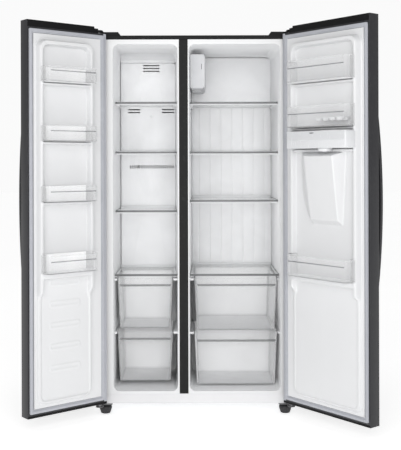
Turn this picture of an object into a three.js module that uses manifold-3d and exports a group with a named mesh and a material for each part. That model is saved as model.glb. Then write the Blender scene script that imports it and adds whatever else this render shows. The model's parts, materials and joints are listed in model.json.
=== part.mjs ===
import * as THREE from 'three';
import { ConvexGeometry } from 'three/addons/geometries/ConvexGeometry.js';
import { mergeVertices } from 'three/addons/utils/BufferGeometryUtils.js';
import Module from 'manifold-3d';

const wasm = await Module();
wasm.setup();

// All lengths are millimetres. Modelling frame: X to the right seen from the front, Y from the
// front flange of the cabinet towards its back, Z up from the floor. The whole group is shifted at
// the end so that its origin is the middle of the footprint of the open refrigerator.

// Cabinet
const HALF_WIDTH = 455;
const CABINET_BASE = 50;
const CABINET_TOP = 1736;
const CABINET_BACK = 598;
const CASE_BACK = CABINET_BACK - 1.6;
const SHEET = 1.2;
const GAP = 0.3;
const FLANGE = 2.5;
const TRIM_BOTTOM = 1717.5;
const TRIM_DEPTH = 25;
const SILL_TOP = 95;
const STRIP_LEFT = -72;
const STRIP_RIGHT = -32;
const STRIP_GAP = 0.4;
const BASE_SHEET = 3;

// Compartments: front opening and the drafted section at the back wall
const LINER_WALL = 2.5;
const CAVITY_BACK = 500;
const LOWER_BACK = 383;
const STEP_HEIGHT = 335;
const CORNER = 28;
const FREEZER_FRONT = { x0: -375, x1: -79, z0: 107, z1: 1695.5 };
const FREEZER_REAR = { x0: -368, x1: -100, z0: 112, z1: 1690 };
const FRIDGE_FRONT = { x0: -27, x1: 392, z0: 107, z1: 1695.5 };
const FRIDGE_REAR = { x0: -14, x1: 392, z0: 112, z1: 1692 };
const MACHINE_FRONT = 395;
const MACHINE_TOP = 300;

// Shelves and drawers
const SHELF_FRONT = 100;
const FREEZER_SHELVES = [1433, 1200, 924];
const FRIDGE_SHELVES = [1432, 1199, 972];
const COVER_LEVEL = 629;
const COVER_FRONT = 62;
const LEDGE_RISE = 1.7;
const LEDGE_THICKNESS = 9;
const LEDGE_BACK = 355;
const DRAWER_FACE_Y = 62;
const UPPER_DRAWER = { z0: 382, z1: 617, lip: 585 };
const LOWER_DRAWER = { z0: 136, z1: 369, lip: 336 };
const CRISPER_UPPER = { z0: 373, z1: 617, lip: 585 };
const CRISPER_LOWER = { z0: 118, z1: 367, lip: 327 };
const DRAWER_WALL = 2.5;
const RIM_DROP = 4;

// Covers over the back walls
const FREEZER_PANEL_Y = 370;
const FRIDGE_PANEL_Y = 480;
const PANEL_BACK = 497;
const PANEL_SHEET = 3;
const PANEL_BOTTOM = 340;
const FREEZER_PANEL_TOP = 1660;
const FRIDGE_PANEL_TOP = 1686;
const OUTLET_SLOT = 6;
const RETURN_SLOTS = { count: 21, x: -322, pitch: 10.6, width: 5, z0: 1124, z1: 1141 };
const FLUTES = { count: 7, x: 22, pitch: 56, radius: 5, depth: 1.6 };

// Doors, in a door frame: x from the hinge axis along the door, y towards the cabinet, z up
const HINGE_INSET = 20;
const HINGE_FORWARD = 38;
const DOOR_GAP = 8;
const DOOR_THICKNESS = 59;
const DOOR_INNER = HINGE_FORWARD - DOOR_GAP;
const DOOR_OUTER = DOOR_INNER - DOOR_THICKNESS;
const DOOR_BOTTOM = 65.5;
const DOOR_TOP = 1764;
const DOOR_SKIN = 2;
const SHELL_BOTTOM = 76;
const SHELL_TOP = 1735;
const FREEZER_DOOR_WIDTH = 401;
const FRIDGE_DOOR_WIDTH = 505;
const FREEZER_DOOR_ANGLE = 140.8;
const FRIDGE_DOOR_ANGLE = 128.4;
const PIN_RADIUS = 5;
const PIN_HOLE = 5.4;
const GASKET_WIDTH = 18;
const GASKET_FACE = HINGE_FORWARD - 0.8;
const DYKE_FACE = 70;
const DYKE_WIDTH = 26;
const FREEZER_PLUG = [66, 345];
const FRIDGE_PLUG = [56, 448];
const BIN_FACE = 125;
const LEDGE_DROP = 15;
const FREEZER_BINS = [[1499, 1564, 1544], [1246, 1314, 1289], [987, 1055, 1031], [684, 762, 735]];
const FRIDGE_BINS = [[1499, 1594, 1559], [1304, 1394, 1360], [660, 752, 724]];
const TANK = [1212, 1281];
const BULGE = { x0: 186, x1: 338, z0: 890, z1: 1188, shallow: 62, deep: 104 };
const TUB = { x0: 200, x1: 326, z0: 911, z1: 1172, wall: 3, behind: 7, clearance: 0.4 };
const NOZZLE_Y = 34;
const LEVER_Y = 66;
const HANDLE_REACH = 40;
const HANDLE_Z0 = 587;
const HANDLE_Z1 = 1393;
const HANDLE_BAR = 13;

// Feet, rollers and machinery
const FOOT_X = 414;
const FOOT_Y = 34;
const STEM_RADIUS = 5;
const ROLLER_X = 405;
const ROLLER_Y = 552;
const ROLLER_RADIUS = 22;
const COMPRESSOR = { x: -180, y: 498, z: 62, plateX: 86, plateY: 74, plate: 4 };
const EVAPORATOR = { x0: -345, x1: -133.5, z0: 700, z1: 1080, y: 400, tube: 5 };
const FINS = { count: 15, pitch: 15, root: 408, tip: 455, thickness: 1.5 };
const FAN_CENTRE = { x: -235, y: 430, z: 1520 };
const FAN_BLADE = { count: 5, width: 38, thickness: 2.5, length: 56, reach: 44, pitch: 0.5 };

// Hinges: half widths from the middle of the cabinet
const HINGE_PLATE = 4;
const HINGE_EYE = 17;
const HINGE_OUTER = 452;
const HINGE_NECK = 418;
const COVER_TOP = 1753;
const COVER_OUTER = 454;

// ---------------------------------------------------------------- geometry helpers

function toSolid(geometry) {
  const bare = geometry.clone();
  bare.deleteAttribute('normal');
  bare.deleteAttribute('uv');
  const merged = mergeVertices(bare, 1e-4);
  return new wasm.Manifold(new wasm.Mesh({
    numProp: 3,
    vertProperties: new Float32Array(merged.attributes.position.array),
    triVerts: new Uint32Array(merged.index.array),
  }));
}

function toGeometry(solid) {
  const mesh = solid.getMesh();
  const geometry = new THREE.BufferGeometry();
  geometry.setAttribute('position', new THREE.BufferAttribute(new Float32Array(mesh.vertProperties), 3));
  geometry.setIndex(new THREE.BufferAttribute(new Uint32Array(mesh.triVerts), 1));
  return geometry;
}

function lerp(a, b, t) {
  return a + (b - a) * t;
}

function unite(parts) {
  return parts.reduce((sum, part) => sum.add(part));
}

function cut(body, tools) {
  return tools.reduce((rest, tool) => rest.subtract(tool), body);
}

function box(x0, x1, y0, y1, z0, z1) {
  const geometry = new THREE.BoxGeometry(x1 - x0, y1 - y0, z1 - z0);
  geometry.translate((x0 + x1) / 2, (y0 + y1) / 2, (z0 + z1) / 2);
  return toSolid(geometry);
}

// Extrudes an outline along an axis. The outline is in (x, y) for z, (x, z) for y and (y, z) for x.
// far(u, v) may move the outline's points at the upper end, which gives a drafted solid.
function prism(outline, axis, from, to, far = null) {
  const shape = new THREE.Shape(outline.map(([u, v]) => new THREE.Vector2(u, v)));
  const geometry = new THREE.ExtrudeGeometry(shape, { depth: 1, bevelEnabled: false, steps: 1 });
  const position = geometry.attributes.position;
  for (let i = 0; i < position.count; i += 1) {
    let u = position.getX(i);
    let v = position.getY(i);
    const atStart = axis === 'y' ? position.getZ(i) > 0.5 : position.getZ(i) < 0.5;
    if (!atStart && far) [u, v] = far(u, v);
    const w = atStart ? from : to;
    if (axis === 'z') position.setXYZ(i, u, v, w);
    if (axis === 'y') position.setXYZ(i, u, w, v);
    if (axis === 'x') position.setXYZ(i, w, u, v);
  }
  return toSolid(geometry);
}

function rectangle(u0, u1, v0, v1) {
  return [[u0, v0], [u1, v0], [u1, v1], [u0, v1]];
}

function roundedOutline(points, radii, segments = 4) {
  const out = [];
  points.forEach((corner, i) => {
    const r = Array.isArray(radii) ? radii[i] : radii;
    if (r === 0) {
      out.push(corner);
      return;
    }
    const before = points[(i + points.length - 1) % points.length];
    const after = points[(i + 1) % points.length];
    const a = new THREE.Vector2(before[0] - corner[0], before[1] - corner[1]).normalize();
    const b = new THREE.Vector2(after[0] - corner[0], after[1] - corner[1]).normalize();
    const half = Math.acos(a.dot(b)) / 2;
    const reach = r / Math.tan(half);
    const middle = a.clone().add(b).normalize().multiplyScalar(r / Math.sin(half));
    const centre = new THREE.Vector2(corner[0], corner[1]).add(middle);
    const start = new THREE.Vector2(corner[0], corner[1]).add(a.multiplyScalar(reach)).sub(centre);
    const end = new THREE.Vector2(corner[0], corner[1]).add(b.multiplyScalar(reach)).sub(centre);
    const turn = Math.atan2(start.cross(end), start.dot(end));
    for (let k = 0; k <= segments; k += 1) {
      const p = start.clone().rotateAround(new THREE.Vector2(0, 0), (turn * k) / segments).add(centre);
      out.push([p.x, p.y]);
    }
  });
  return out;
}

function roundedRectangle(u0, u1, v0, v1, r, segments = 4) {
  return roundedOutline(rectangle(u0, u1, v0, v1), r, segments);
}

// Maps points of one rectangle onto another: used as the far end of a drafted prism.
function between(a, b) {
  return (u, v) => [
    b.x0 + ((u - a.x0) * (b.x1 - b.x0)) / (a.x1 - a.x0),
    b.z0 + ((v - a.z0) * (b.z1 - b.z0)) / (a.z1 - a.z0),
  ];
}

function cylinder(radius, axis, centre, from, to, segments = 16) {
  const geometry = new THREE.CylinderGeometry(radius, radius, to - from, segments);
  const middle = (from + to) / 2;
  if (axis === 'x') geometry.rotateZ(Math.PI / 2).translate(middle, centre[0], centre[1]);
  if (axis === 'y') geometry.translate(centre[0], middle, centre[1]);
  if (axis === 'z') geometry.rotateX(Math.PI / 2).translate(centre[0], centre[1], middle);
  return toSolid(geometry);
}

// Turns an (r, z) profile about a vertical axis.
function turned(profile, x, y, segments) {
  const points = profile.map(([r, z]) => new THREE.Vector2(r, z));
  const geometry = new THREE.LatheGeometry(points, segments);
  geometry.rotateX(Math.PI / 2).translate(x, y, 0);
  return toSolid(geometry);
}

// ---------------------------------------------------------------- cabinet

function sectionAt(front, rear, y, grow) {
  const t = y / CAVITY_BACK;
  return {
    x0: lerp(front.x0, rear.x0, t) - grow,
    x1: lerp(front.x1, rear.x1, t) + grow,
    z0: lerp(front.z0, rear.z0, t) - grow,
    z1: lerp(front.z1, rear.z1, t) + grow,
  };
}

function draftedBlock(a, b, radius, y0, y1) {
  return prism(roundedRectangle(a.x0, a.x1, a.z0, a.z1, radius), 'y', y0, y1, between(a, b));
}

// The compartment's space, grown by the given wall; shallower at the bottom, over the machine room.
function compartment(front, rear, grow, y0) {
  const lowerBack = LOWER_BACK + grow;
  const upperBack = CAVITY_BACK + grow;
  const radius = CORNER + grow;
  const whole = draftedBlock(
    sectionAt(front, rear, y0, grow), sectionAt(front, rear, lowerBack, grow), radius, y0, lowerBack);
  const overlap = lowerBack - 40;
  const nearEnd = { ...sectionAt(front, rear, overlap, grow), z0: STEP_HEIGHT - grow };
  const farEnd = { ...sectionAt(front, rear, upperBack, grow), z0: STEP_HEIGHT - grow };
  return whole.add(draftedBlock(nearEnd, farEnd, radius, overlap, upperBack));
}

// Ledges on both side walls: the outer edges follow the drafted walls, the inner edges are straight.
function wallLedges(front, rear, inner, levels, y0, y1) {
  const bite = 1;
  const a = sectionAt(front, rear, y0, bite);
  const b = sectionAt(front, rear, y1, bite);
  const left = [[a.x0, y0], [inner.x0, y0], [inner.x0, y1], [b.x0, y1]];
  const right = [[inner.x1, y0], [a.x1, y0], [b.x1, y1], [inner.x1, y1]];
  return levels.flatMap((level) =>
    [left, right].map((plan) => prism(plan, 'z', level - LEDGE_THICKNESS, level)));
}

function liner(front, rear, flangeX0, flangeX1, ledges) {
  const flange = box(flangeX0, flangeX1, 0, FLANGE, SILL_TOP + GAP, TRIM_BOTTOM - GAP);
  const outside = compartment(front, rear, LINER_WALL, 0).add(flange);
  const shell = outside.subtract(compartment(front, rear, 0, -1));
  return unite([shell, ...ledges]);
}

const freezerInner = { x0: -365, x1: -101.5 };
const fridgeInner = { x0: -7, x1: 383.5 };

function freezerLiner() {
  const shelfLevels = FREEZER_SHELVES.map((level) => level + LEDGE_RISE);
  const drawerLevels = [UPPER_DRAWER.z1 - RIM_DROP - GAP, LOWER_DRAWER.z1 - RIM_DROP - GAP,
    COVER_LEVEL + LEDGE_RISE];
  const ledges = [
    ...wallLedges(FREEZER_FRONT, FREEZER_REAR, freezerInner, shelfLevels, SHELF_FRONT + 12, LEDGE_BACK),
    ...wallLedges(FREEZER_FRONT, FREEZER_REAR, freezerInner, drawerLevels, COVER_FRONT + 12, LEDGE_BACK),
  ];
  return liner(FREEZER_FRONT, FREEZER_REAR, -HALF_WIDTH + SHEET + GAP, STRIP_LEFT - STRIP_GAP, ledges);
}

function fridgeLiner() {
  const deep = 460;
  const shelfLevels = FRIDGE_SHELVES.map((level) => level + LEDGE_RISE);
  const upperLevels = [COVER_LEVEL + LEDGE_RISE, CRISPER_UPPER.z1 - RIM_DROP - GAP];
  const lowerLevels = [CRISPER_LOWER.z1 - RIM_DROP - GAP];
  const ledges = [
    ...wallLedges(FRIDGE_FRONT, FRIDGE_REAR, fridgeInner, shelfLevels, SHELF_FRONT + 12, deep),
    ...wallLedges(FRIDGE_FRONT, FRIDGE_REAR, fridgeInner, upperLevels, COVER_FRONT + 12, deep),
    ...wallLedges(FRIDGE_FRONT, FRIDGE_REAR, fridgeInner, lowerLevels, COVER_FRONT + 12, LEDGE_BACK),
  ];
  return liner(FRIDGE_FRONT, FRIDGE_REAR, STRIP_RIGHT + STRIP_GAP, HALF_WIDTH - SHEET - GAP, ledges);
}

function cabinetFoam() {
  const side = HALF_WIDTH - SHEET - GAP;
  const block = box(-side, side, FLANGE + GAP, CASE_BACK, CABINET_BASE + BASE_SHEET + GAP,
    CABINET_TOP - SHEET - GAP);
  const wall = LINER_WALL + GAP;
  const stems = [-FOOT_X, FOOT_X].map((x) => cylinder(STEM_RADIUS + 2, 'z', [x, FOOT_Y], 50, 72, 12));
  return cut(block, [
    compartment(FREEZER_FRONT, FREEZER_REAR, wall, 0),
    compartment(FRIDGE_FRONT, FRIDGE_REAR, wall, 0),
    box(-HALF_WIDTH, HALF_WIDTH, MACHINE_FRONT, CABINET_BACK, CABINET_BASE, MACHINE_TOP),
    box(-HALF_WIDTH, HALF_WIDTH, -1, TRIM_DEPTH + GAP, TRIM_BOTTOM - GAP, CABINET_TOP + 1),
    ...stems,
  ]);
}

function outerWrap() {
  const x = HALF_WIDTH;
  const outline = [
    [-x, CABINET_BASE], [-x + SHEET, CABINET_BASE], [-x + SHEET, CABINET_TOP - SHEET],
    [x - SHEET, CABINET_TOP - SHEET], [x - SHEET, CABINET_BASE], [x, CABINET_BASE],
    [x, CABINET_TOP], [-x, CABINET_TOP],
  ];
  const wrap = prism(outline, 'y', 0, CASE_BACK);
  return wrap.subtract(box(-x - 1, x + 1, -1, TRIM_DEPTH + GAP, TRIM_BOTTOM - GAP, CABINET_TOP + 1));
}

function basePlate() {
  const side = HALF_WIDTH - SHEET - GAP;
  const plate = box(-side, side, FLANGE + GAP, CASE_BACK, CABINET_BASE, CABINET_BASE + BASE_SHEET);
  const holes = [-FOOT_X, FOOT_X].map((x) => cylinder(STEM_RADIUS + 1, 'z', [x, FOOT_Y], 40, 60, 12));
  const ears = [];
  [-ROLLER_X, ROLLER_X].forEach((x) => {
    [x - 18, x + 15].forEach((earX) => {
      ears.push(prism(roundedOutline([
        [ROLLER_Y - 12, 12], [ROLLER_Y + 12, 12], [ROLLER_Y + 22, CABINET_BASE + 1],
        [ROLLER_Y - 22, CABINET_BASE + 1]], [8, 8, 0, 0]), 'x', earX, earX + 3));
    });
    ears.push(cylinder(4, 'x', [ROLLER_Y, ROLLER_RADIUS], x - 16, x + 16, 12));
  });
  return unite([cut(plate, holes), ...ears]);
}

function roller(x) {
  const wheel = cylinder(ROLLER_RADIUS, 'x', [ROLLER_Y, ROLLER_RADIUS], x - 13, x + 13, 24);
  return wheel.subtract(cylinder(4.3, 'x', [ROLLER_Y, ROLLER_RADIUS], x - 14, x + 14, 12));
}

function foot(side) {
  const profile = [[0, 0], [21, 0], [24, 3], [30, 22], [31, 30], [26, 36], [12, 38], [12, 43],
    [STEM_RADIUS, 43], [STEM_RADIUS, 66], [0, 66]];
  return turned(profile, side * FOOT_X, FOOT_Y, 10);
}

function topTrim() {
  return box(-HALF_WIDTH, HALF_WIDTH, 0, TRIM_DEPTH, TRIM_BOTTOM, CABINET_TOP);
}

function dividerStrip() {
  return box(STRIP_LEFT, STRIP_RIGHT, 0, FLANGE, SILL_TOP + GAP, TRIM_BOTTOM - GAP);
}

function kickPanel() {
  const side = HALF_WIDTH - SHEET - GAP;
  return box(-side, side, 0, FLANGE, CABINET_BASE + GAP, SILL_TOP);
}

function backPanel() {
  const ribs = [];
  for (let x = -350; x <= 350; x += 140) {
    ribs.push(box(x - 20, x + 20, CABINET_BACK - 1.3, CABINET_BACK + 2, 420, 1620));
  }
  const panel = box(-HALF_WIDTH, HALF_WIDTH, CABINET_BACK - 1.3, CABINET_BACK, MACHINE_TOP, CABINET_TOP);
  return unite([panel, ...ribs]);
}

function machineRoomCover() {
  const y0 = CABINET_BACK - 1.3;
  const y1 = CABINET_BACK + 0.7;
  const cover = box(-448, 448, y0, y1, CABINET_BASE + 4, MACHINE_TOP - GAP);
  const slots = [];
  [-300, 120].forEach((start) => {
    for (let row = 0; row < 6; row += 1) {
      slots.push(box(start, start + 180, y0 - 1, y1 + 1, 110 + row * 26, 118 + row * 26));
    }
  });
  const gland = [cylinder(11, 'y', [390, 90], y0, y1 + 14, 16)];
  return cut(unite([cover, ...gland]), slots);
}

function compressor() {
  const { x, y, z, plateX, plateY, plate } = COMPRESSOR;
  const dome = turned([[0, z], [70, z], [82, z + 10], [84, z + 58], [80, z + 98], [62, z + 120],
    [30, z + 130], [0, z + 132]], x, y, 20);
  const tray = box(x - plateX, x + plateX, y - plateY, y + plateY, z, z + plate);
  const feet = [-1, 1].flatMap((i) => [-1, 1].map((j) =>
    cylinder(12, 'z', [x + i * (plateX - 16), y + j * (plateY - 16)],
      CABINET_BASE + BASE_SHEET + GAP, z + plate, 10)));
  const terminals = box(x + 82, x + 112, y - 28, y + 28, z + 28, z + 88);
  const pipeY = y - 70;
  const pipe = cylinder(5, 'z', [x, pipeY], z + 58, z + 198, 8);
  const elbow = cylinder(5, 'y', [x, z + 63], pipeY - 8, pipeY + 12, 8);
  return unite([dome, tray, ...feet, terminals, pipe, elbow]);
}

// ---------------------------------------------------------------- inside the compartments

function shelf(front, rear, level, y0, y1) {
  const a = sectionAt(front, rear, y0, 0);
  const b = sectionAt(front, rear, y1, 0);
  const side = 1.5;
  const plate = prism([[a.x0 + side, y0 + 3], [a.x1 - side, y0 + 3], [b.x1 - side, y1], [b.x0 + side, y1]],
    'z', level + 2, level + 6);
  const nose = prism(roundedRectangle(y0, y0 + 9, level - 8, level + 8, 2.5, 2),
    'x', a.x0 + side, a.x1 - side);
  const heel = box(b.x0 + side, b.x1 - side, y1 - 6, y1, level + 2, level + 14);
  return unite([plate, nose, heel]);
}

function freezerShelf(level, front) {
  return shelf(FREEZER_FRONT, FREEZER_REAR, level, front, FREEZER_PANEL_Y - 4);
}

function fridgeShelf(level, front) {
  return shelf(FRIDGE_FRONT, FRIDGE_REAR, level, front, FRIDGE_PANEL_Y - 6);
}

function evaporatorCover() {
  const side = sectionAt(FREEZER_FRONT, FREEZER_REAR, FREEZER_PANEL_Y, 0);
  const far = sectionAt(FREEZER_FRONT, FREEZER_REAR, PANEL_BACK, 0);
  const y = FREEZER_PANEL_Y;
  const top = FREEZER_PANEL_TOP;
  const outline = [[y, PANEL_BOTTOM], [y + PANEL_SHEET, PANEL_BOTTOM], [y + PANEL_SHEET, top - 14],
    [y + 15, top - PANEL_SHEET], [PANEL_BACK, top - PANEL_SHEET], [PANEL_BACK, top], [y + 14, top],
    [y, top - 12]];
  const panel = prism(outline, 'x', Math.max(side.x0, far.x0) + 1, far.x1 - 1);
  const wing = box(far.x1 - 2, side.x1 - 1, y, y + PANEL_SHEET, PANEL_BOTTOM, top - 14);
  const slot = (x0, x1, z0, z1) => box(x0, x1, y - 10, y + 10, z0, z1);
  const outlet = (x0, x1, z) => slot(x0, x1, z - OUTLET_SLOT / 2, z + OUTLET_SLOT / 2);
  const slots = [1638, 1624, 1610].map((z) => outlet(-256, -175, z));
  [1418, 1404].forEach((z) => slots.push(outlet(-331, -271, z), outlet(-162, -102, z)));
  for (let k = 0; k < RETURN_SLOTS.count; k += 1) {
    const x = RETURN_SLOTS.x + k * RETURN_SLOTS.pitch;
    slots.push(slot(x, x + RETURN_SLOTS.width, RETURN_SLOTS.z0, RETURN_SLOTS.z1));
  }
  return cut(unite([panel, wing]), slots);
}

function evaporator() {
  const { x0, x1, z0, z1, y, tube } = EVAPORATOR;
  const fins = [];
  for (let k = 0; k < FINS.count; k += 1) {
    const x = x0 + k * FINS.pitch;
    fins.push([x, FINS.root], [x, FINS.tip], [x + FINS.thickness, FINS.tip],
      [x + FINS.thickness, FINS.root]);
  }
  const core = prism([[x0, y], ...fins, [x1, y]], 'z', z0, z1);
  const tubes = [];
  for (let z = z0 + 30; z <= z1 - 30; z += 80) {
    tubes.push(cylinder(tube, 'x', [y, z], x0 - 12, x1 + 12.5, 8));
  }
  [x0 - 9, x1 + 9.5].forEach((x) => tubes.push(cylinder(tube, 'z', [x, y], z0 + 25, z1 + 20, 8)));
  return unite([core, ...tubes]);
}

function evaporatorFan() {
  const { x, y, z } = FAN_CENTRE;
  const hub = cylinder(20, 'y', [x, z], y - 12, y + 12, 16);
  const shaft = cylinder(4, 'y', [x, z], y, PANEL_BACK, 10);
  const blades = [];
  for (let k = 0; k < FAN_BLADE.count; k += 1) {
    const blade = new THREE.BoxGeometry(FAN_BLADE.width, FAN_BLADE.thickness, FAN_BLADE.length);
    blade.rotateZ(FAN_BLADE.pitch).translate(0, 0, FAN_BLADE.reach);
    blade.rotateY((2 * Math.PI * k) / FAN_BLADE.count).translate(x, y, z);
    blades.push(toSolid(blade));
  }
  return unite([hub, shaft, ...blades]);
}

function fridgeDuctCover() {
  const side = sectionAt(FRIDGE_FRONT, FRIDGE_REAR, PANEL_BACK, 0);
  const x0 = side.x0 + 1;
  const x1 = side.x1 - 1;
  const y0 = FRIDGE_PANEL_Y;
  const t = PANEL_SHEET;
  const outline = [[x0, y0], [x1, y0], [x1, PANEL_BACK], [x1 - t, PANEL_BACK], [x1 - t, y0 + t],
    [x0 + t, y0 + t], [x0 + t, PANEL_BACK], [x0, PANEL_BACK]];
  const panel = prism(outline, 'z', PANEL_BOTTOM, FRIDGE_PANEL_TOP);
  const flutes = [];
  for (let k = 0; k < FLUTES.count; k += 1) {
    const centre = [FLUTES.x + k * FLUTES.pitch, y0 + FLUTES.depth - FLUTES.radius];
    flutes.push(cylinder(FLUTES.radius, 'z', centre, 592, FRIDGE_SHELVES[0], 8));
  }
  return cut(panel, flutes).intersect(compartment(FRIDGE_FRONT, FRIDGE_REAR, -1, 0));
}

function lampBox() {
  const a = { x0: -21, x1: 49, z0: 1505, z1: 1668 };
  const b = { x0: -12, x1: 57, z0: 1505, z1: 1668 };
  return prism(roundedRectangle(a.x0, a.x1, a.z0, a.z1, [10, 16, 10, 4], 4), 'y', 150, 478, between(a, b));
}

// A drawer: drafted open tray with a rim that rides on the liner's rails, a front face and a grip lip.
function drawer({ x0, x1, z0, z1, lip, back, backFoot, faceX0, faceX1, lipX0, lipX1 }) {
  const draft = 10;
  const rim = 6;
  const y0 = DRAWER_FACE_Y + 3;
  const top = { x0, x1, z0: y0, z1: back };
  const foot = { x0: x0 + draft, x1: x1 - draft, z0: y0 + 6, z1: backFoot };
  const t = DRAWER_WALL;
  const innerTop = { x0: x0 + t, x1: x1 - t, z0: y0 + t, z1: back - t };
  const innerFoot = { x0: foot.x0 + t, x1: foot.x1 - t, z0: foot.z0 + t, z1: foot.z1 - t };
  const outer = prism(roundedRectangle(foot.x0, foot.x1, foot.z0, foot.z1, 14, 3),
    'z', z0, z1, between(foot, top));
  const inner = prism(roundedRectangle(innerFoot.x0, innerFoot.x1, innerFoot.z0, innerFoot.z1, 12, 3),
    'z', z0 + t, z1 + 1, between(innerFoot, innerTop));
  const flange = box(x0 - rim, x1 + rim, y0 + 8, back, z1 - RIM_DROP, z1);
  const plate = roundedRectangle(faceX0, faceX1, z0, z1, 10, 3);
  const face = prism(plate, 'y', DRAWER_FACE_Y, DRAWER_FACE_Y + 4);
  const grip = box(lipX0, lipX1, DRAWER_FACE_Y - 8, DRAWER_FACE_Y + 1, lip - 3, lip + 3);
  return unite([outer, flange, face, grip]).subtract(inner);
}

function freezerDrawer(level, back, backFoot) {
  return drawer({
    ...level, x0: -362, x1: -105, back, backFoot, faceX0: -370, faceX1: -88, lipX0: -344, lipX1: -103,
  });
}

function fridgeCrisper(level, back, backFoot) {
  return drawer({
    ...level, x0: -3, x1: 381, back, backFoot, faceX0: -19, faceX1: 388, lipX0: 0, lipX1: 372,
  });
}

// ---------------------------------------------------------------- hinges

function hingeAxis(side) {
  return [side * (HALF_WIDTH - HINGE_INSET), -HINGE_FORWARD];
}

function mirrored(outline, side) {
  return side < 0 ? outline : outline.map(([x, y]) => [-x, y]).reverse();
}

function upperHingeOutline(grow) {
  const front = -40;
  const back = 85;
  const step = 10;
  const inner = 388;
  return [[-HINGE_OUTER - grow, front], [-HINGE_NECK + grow, front], [-HINGE_NECK + grow, step],
    [-inner + grow, step - grow], [-inner + grow, back + grow], [-HINGE_OUTER - grow, back + grow]];
}

function upperHinge(side) {
  const [x, y] = hingeAxis(side);
  const z0 = CABINET_TOP + GAP;
  const plate = prism(mirrored(upperHingeOutline(0), side), 'z', z0, z0 + HINGE_PLATE);
  const eye = cylinder(HINGE_EYE, 'z', [x, y], z0, z0 + HINGE_PLATE, 24);
  const pin = cylinder(PIN_RADIUS, 'z', [x, y], SHELL_TOP - 20, z0 + 2, 16);
  return unite([plate, eye, pin]);
}

function hingeCover(side) {
  const [x, y] = hingeAxis(side);
  const foot = CABINET_TOP + GAP;
  const under = foot + HINGE_PLATE + GAP;
  const across = (a, b, y0, y1, z0, z1) =>
    box(Math.min(side * a, side * b), Math.max(side * a, side * b), y0, y1, z0, z1);
  const front = [[-COVER_OUTER, foot], [-338.6, foot], [-351, COVER_TOP], [-COVER_OUTER, COVER_TOP]];
  const hood = prism(mirrored(front, side), 'y', 8, 110);
  const strip = across(HINGE_OUTER + 1, HINGE_NECK - 1, y, 9, under, COVER_TOP);
  const nose = cylinder(HINGE_EYE + 1, 'z', [x, y], under, COVER_TOP, 24);
  const pocket = prism(mirrored(upperHingeOutline(0.6), side), 'z', CABINET_TOP, under);
  const edge = across(COVER_OUTER + 3, HINGE_OUTER - 2, 7, 86, CABINET_TOP, under);
  return cut(unite([hood, strip, nose]), [pocket, edge]);
}

function lowerHinge(side) {
  const [x, y] = hingeAxis(side);
  const inner = 380;
  const z1 = CABINET_BASE - GAP;
  const z0 = z1 - HINGE_PLATE;
  const outline = mirrored([[-HINGE_OUTER, y], [-HINGE_NECK, y], [-HINGE_NECK, -6], [-inner, -6],
    [-inner, 72], [-HINGE_OUTER, 72]], side);
  const plate = prism(outline, 'z', z0, z1);
  const eye = cylinder(HINGE_EYE, 'z', [x, y], z0, z1, 24);
  const collar = cylinder(2 * PIN_RADIUS, 'z', [x, y], z0 + 1, DOOR_BOTTOM - 0.5, 16);
  const pin = cylinder(PIN_RADIUS, 'z', [x, y], z0 + 2, SHELL_BOTTOM + 12, 16);
  const hole = cylinder(STEM_RADIUS + 1, 'z', [side * FOOT_X, FOOT_Y], z0 - 1, z1 + 1, 12);
  return unite([plate, eye, collar, pin]).subtract(hole);
}

// ---------------------------------------------------------------- doors, in the door frame

function doorOutline(width) {
  const x1 = width - HINGE_INSET;
  return roundedOutline([[-HINGE_INSET, DOOR_OUTER], [x1, DOOR_OUTER], [x1, DOOR_INNER],
    [-HINGE_INSET, DOOR_INNER]], [5, 5, 1.5, 1.5], 3);
}

// The space inside the wrapped skin, which covers the outer face and the handle side at full height.
function insideSkin(width, gap) {
  const side = width - HINGE_INSET - DOOR_SKIN - gap;
  const face = DOOR_OUTER + DOOR_SKIN + gap;
  const far = 60;
  const outline = roundedOutline([[-far, face], [side, face], [side, far], [-far, far]], [0, 3, 0, 0], 3);
  return prism(outline, 'z', 0, DOOR_TOP + 1);
}

// How far the inner liner's bulge over the dispenser reaches at a height.
function bulgeReach(z) {
  return lerp(BULGE.shallow, BULGE.deep, (z - BULGE.z0) / (BULGE.z1 - BULGE.z0));
}

// A block behind the dispenser's front whose back slopes with the bulge, grown on all its sides.
function tubBlock(front, grow, behind) {
  const z0 = TUB.z0 - grow;
  const z1 = TUB.z1 + grow;
  const profile = [[front, z0], [bulgeReach(z0) - behind, z0], [bulgeReach(z1) - behind, z1], [front, z1]];
  return prism(profile, 'x', TUB.x0 - grow, TUB.x1 + grow);
}

function doorShell(width, windows) {
  const body = prism(doorOutline(width), 'z', SHELL_BOTTOM, SHELL_TOP);
  const skin = prism(doorOutline(width), 'z', DOOR_BOTTOM, DOOR_TOP).subtract(insideSkin(width, 0));
  return cut(body.add(skin), [
    box(-60, 22, -60, 60, SHELL_TOP, DOOR_TOP + 1),
    cylinder(PIN_HOLE, 'z', [0, 0], SHELL_TOP - 22, SHELL_TOP + 1, 16),
    cylinder(PIN_HOLE, 'z', [0, 0], SHELL_BOTTOM - 1, SHELL_BOTTOM + 14, 16),
    ...windows,
  ]);
}

function topCap(width) {
  const body = prism(doorOutline(width), 'z', SHELL_TOP + GAP, DOOR_TOP);
  return cut(body.intersect(insideSkin(width, GAP)), [
    box(-60, 22, -60, 60, SHELL_TOP, DOOR_TOP + 1),
    box(20, 42, -60, 60, DOOR_TOP - 8, DOOR_TOP + 1),
  ]);
}

function bottomCap(width) {
  const body = prism(doorOutline(width), 'z', DOOR_BOTTOM, SHELL_BOTTOM - GAP);
  const hole = cylinder(PIN_HOLE, 'z', [0, 0], DOOR_BOTTOM - 1, SHELL_BOTTOM, 16);
  return body.intersect(insideSkin(width, GAP)).subtract(hole);
}

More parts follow.
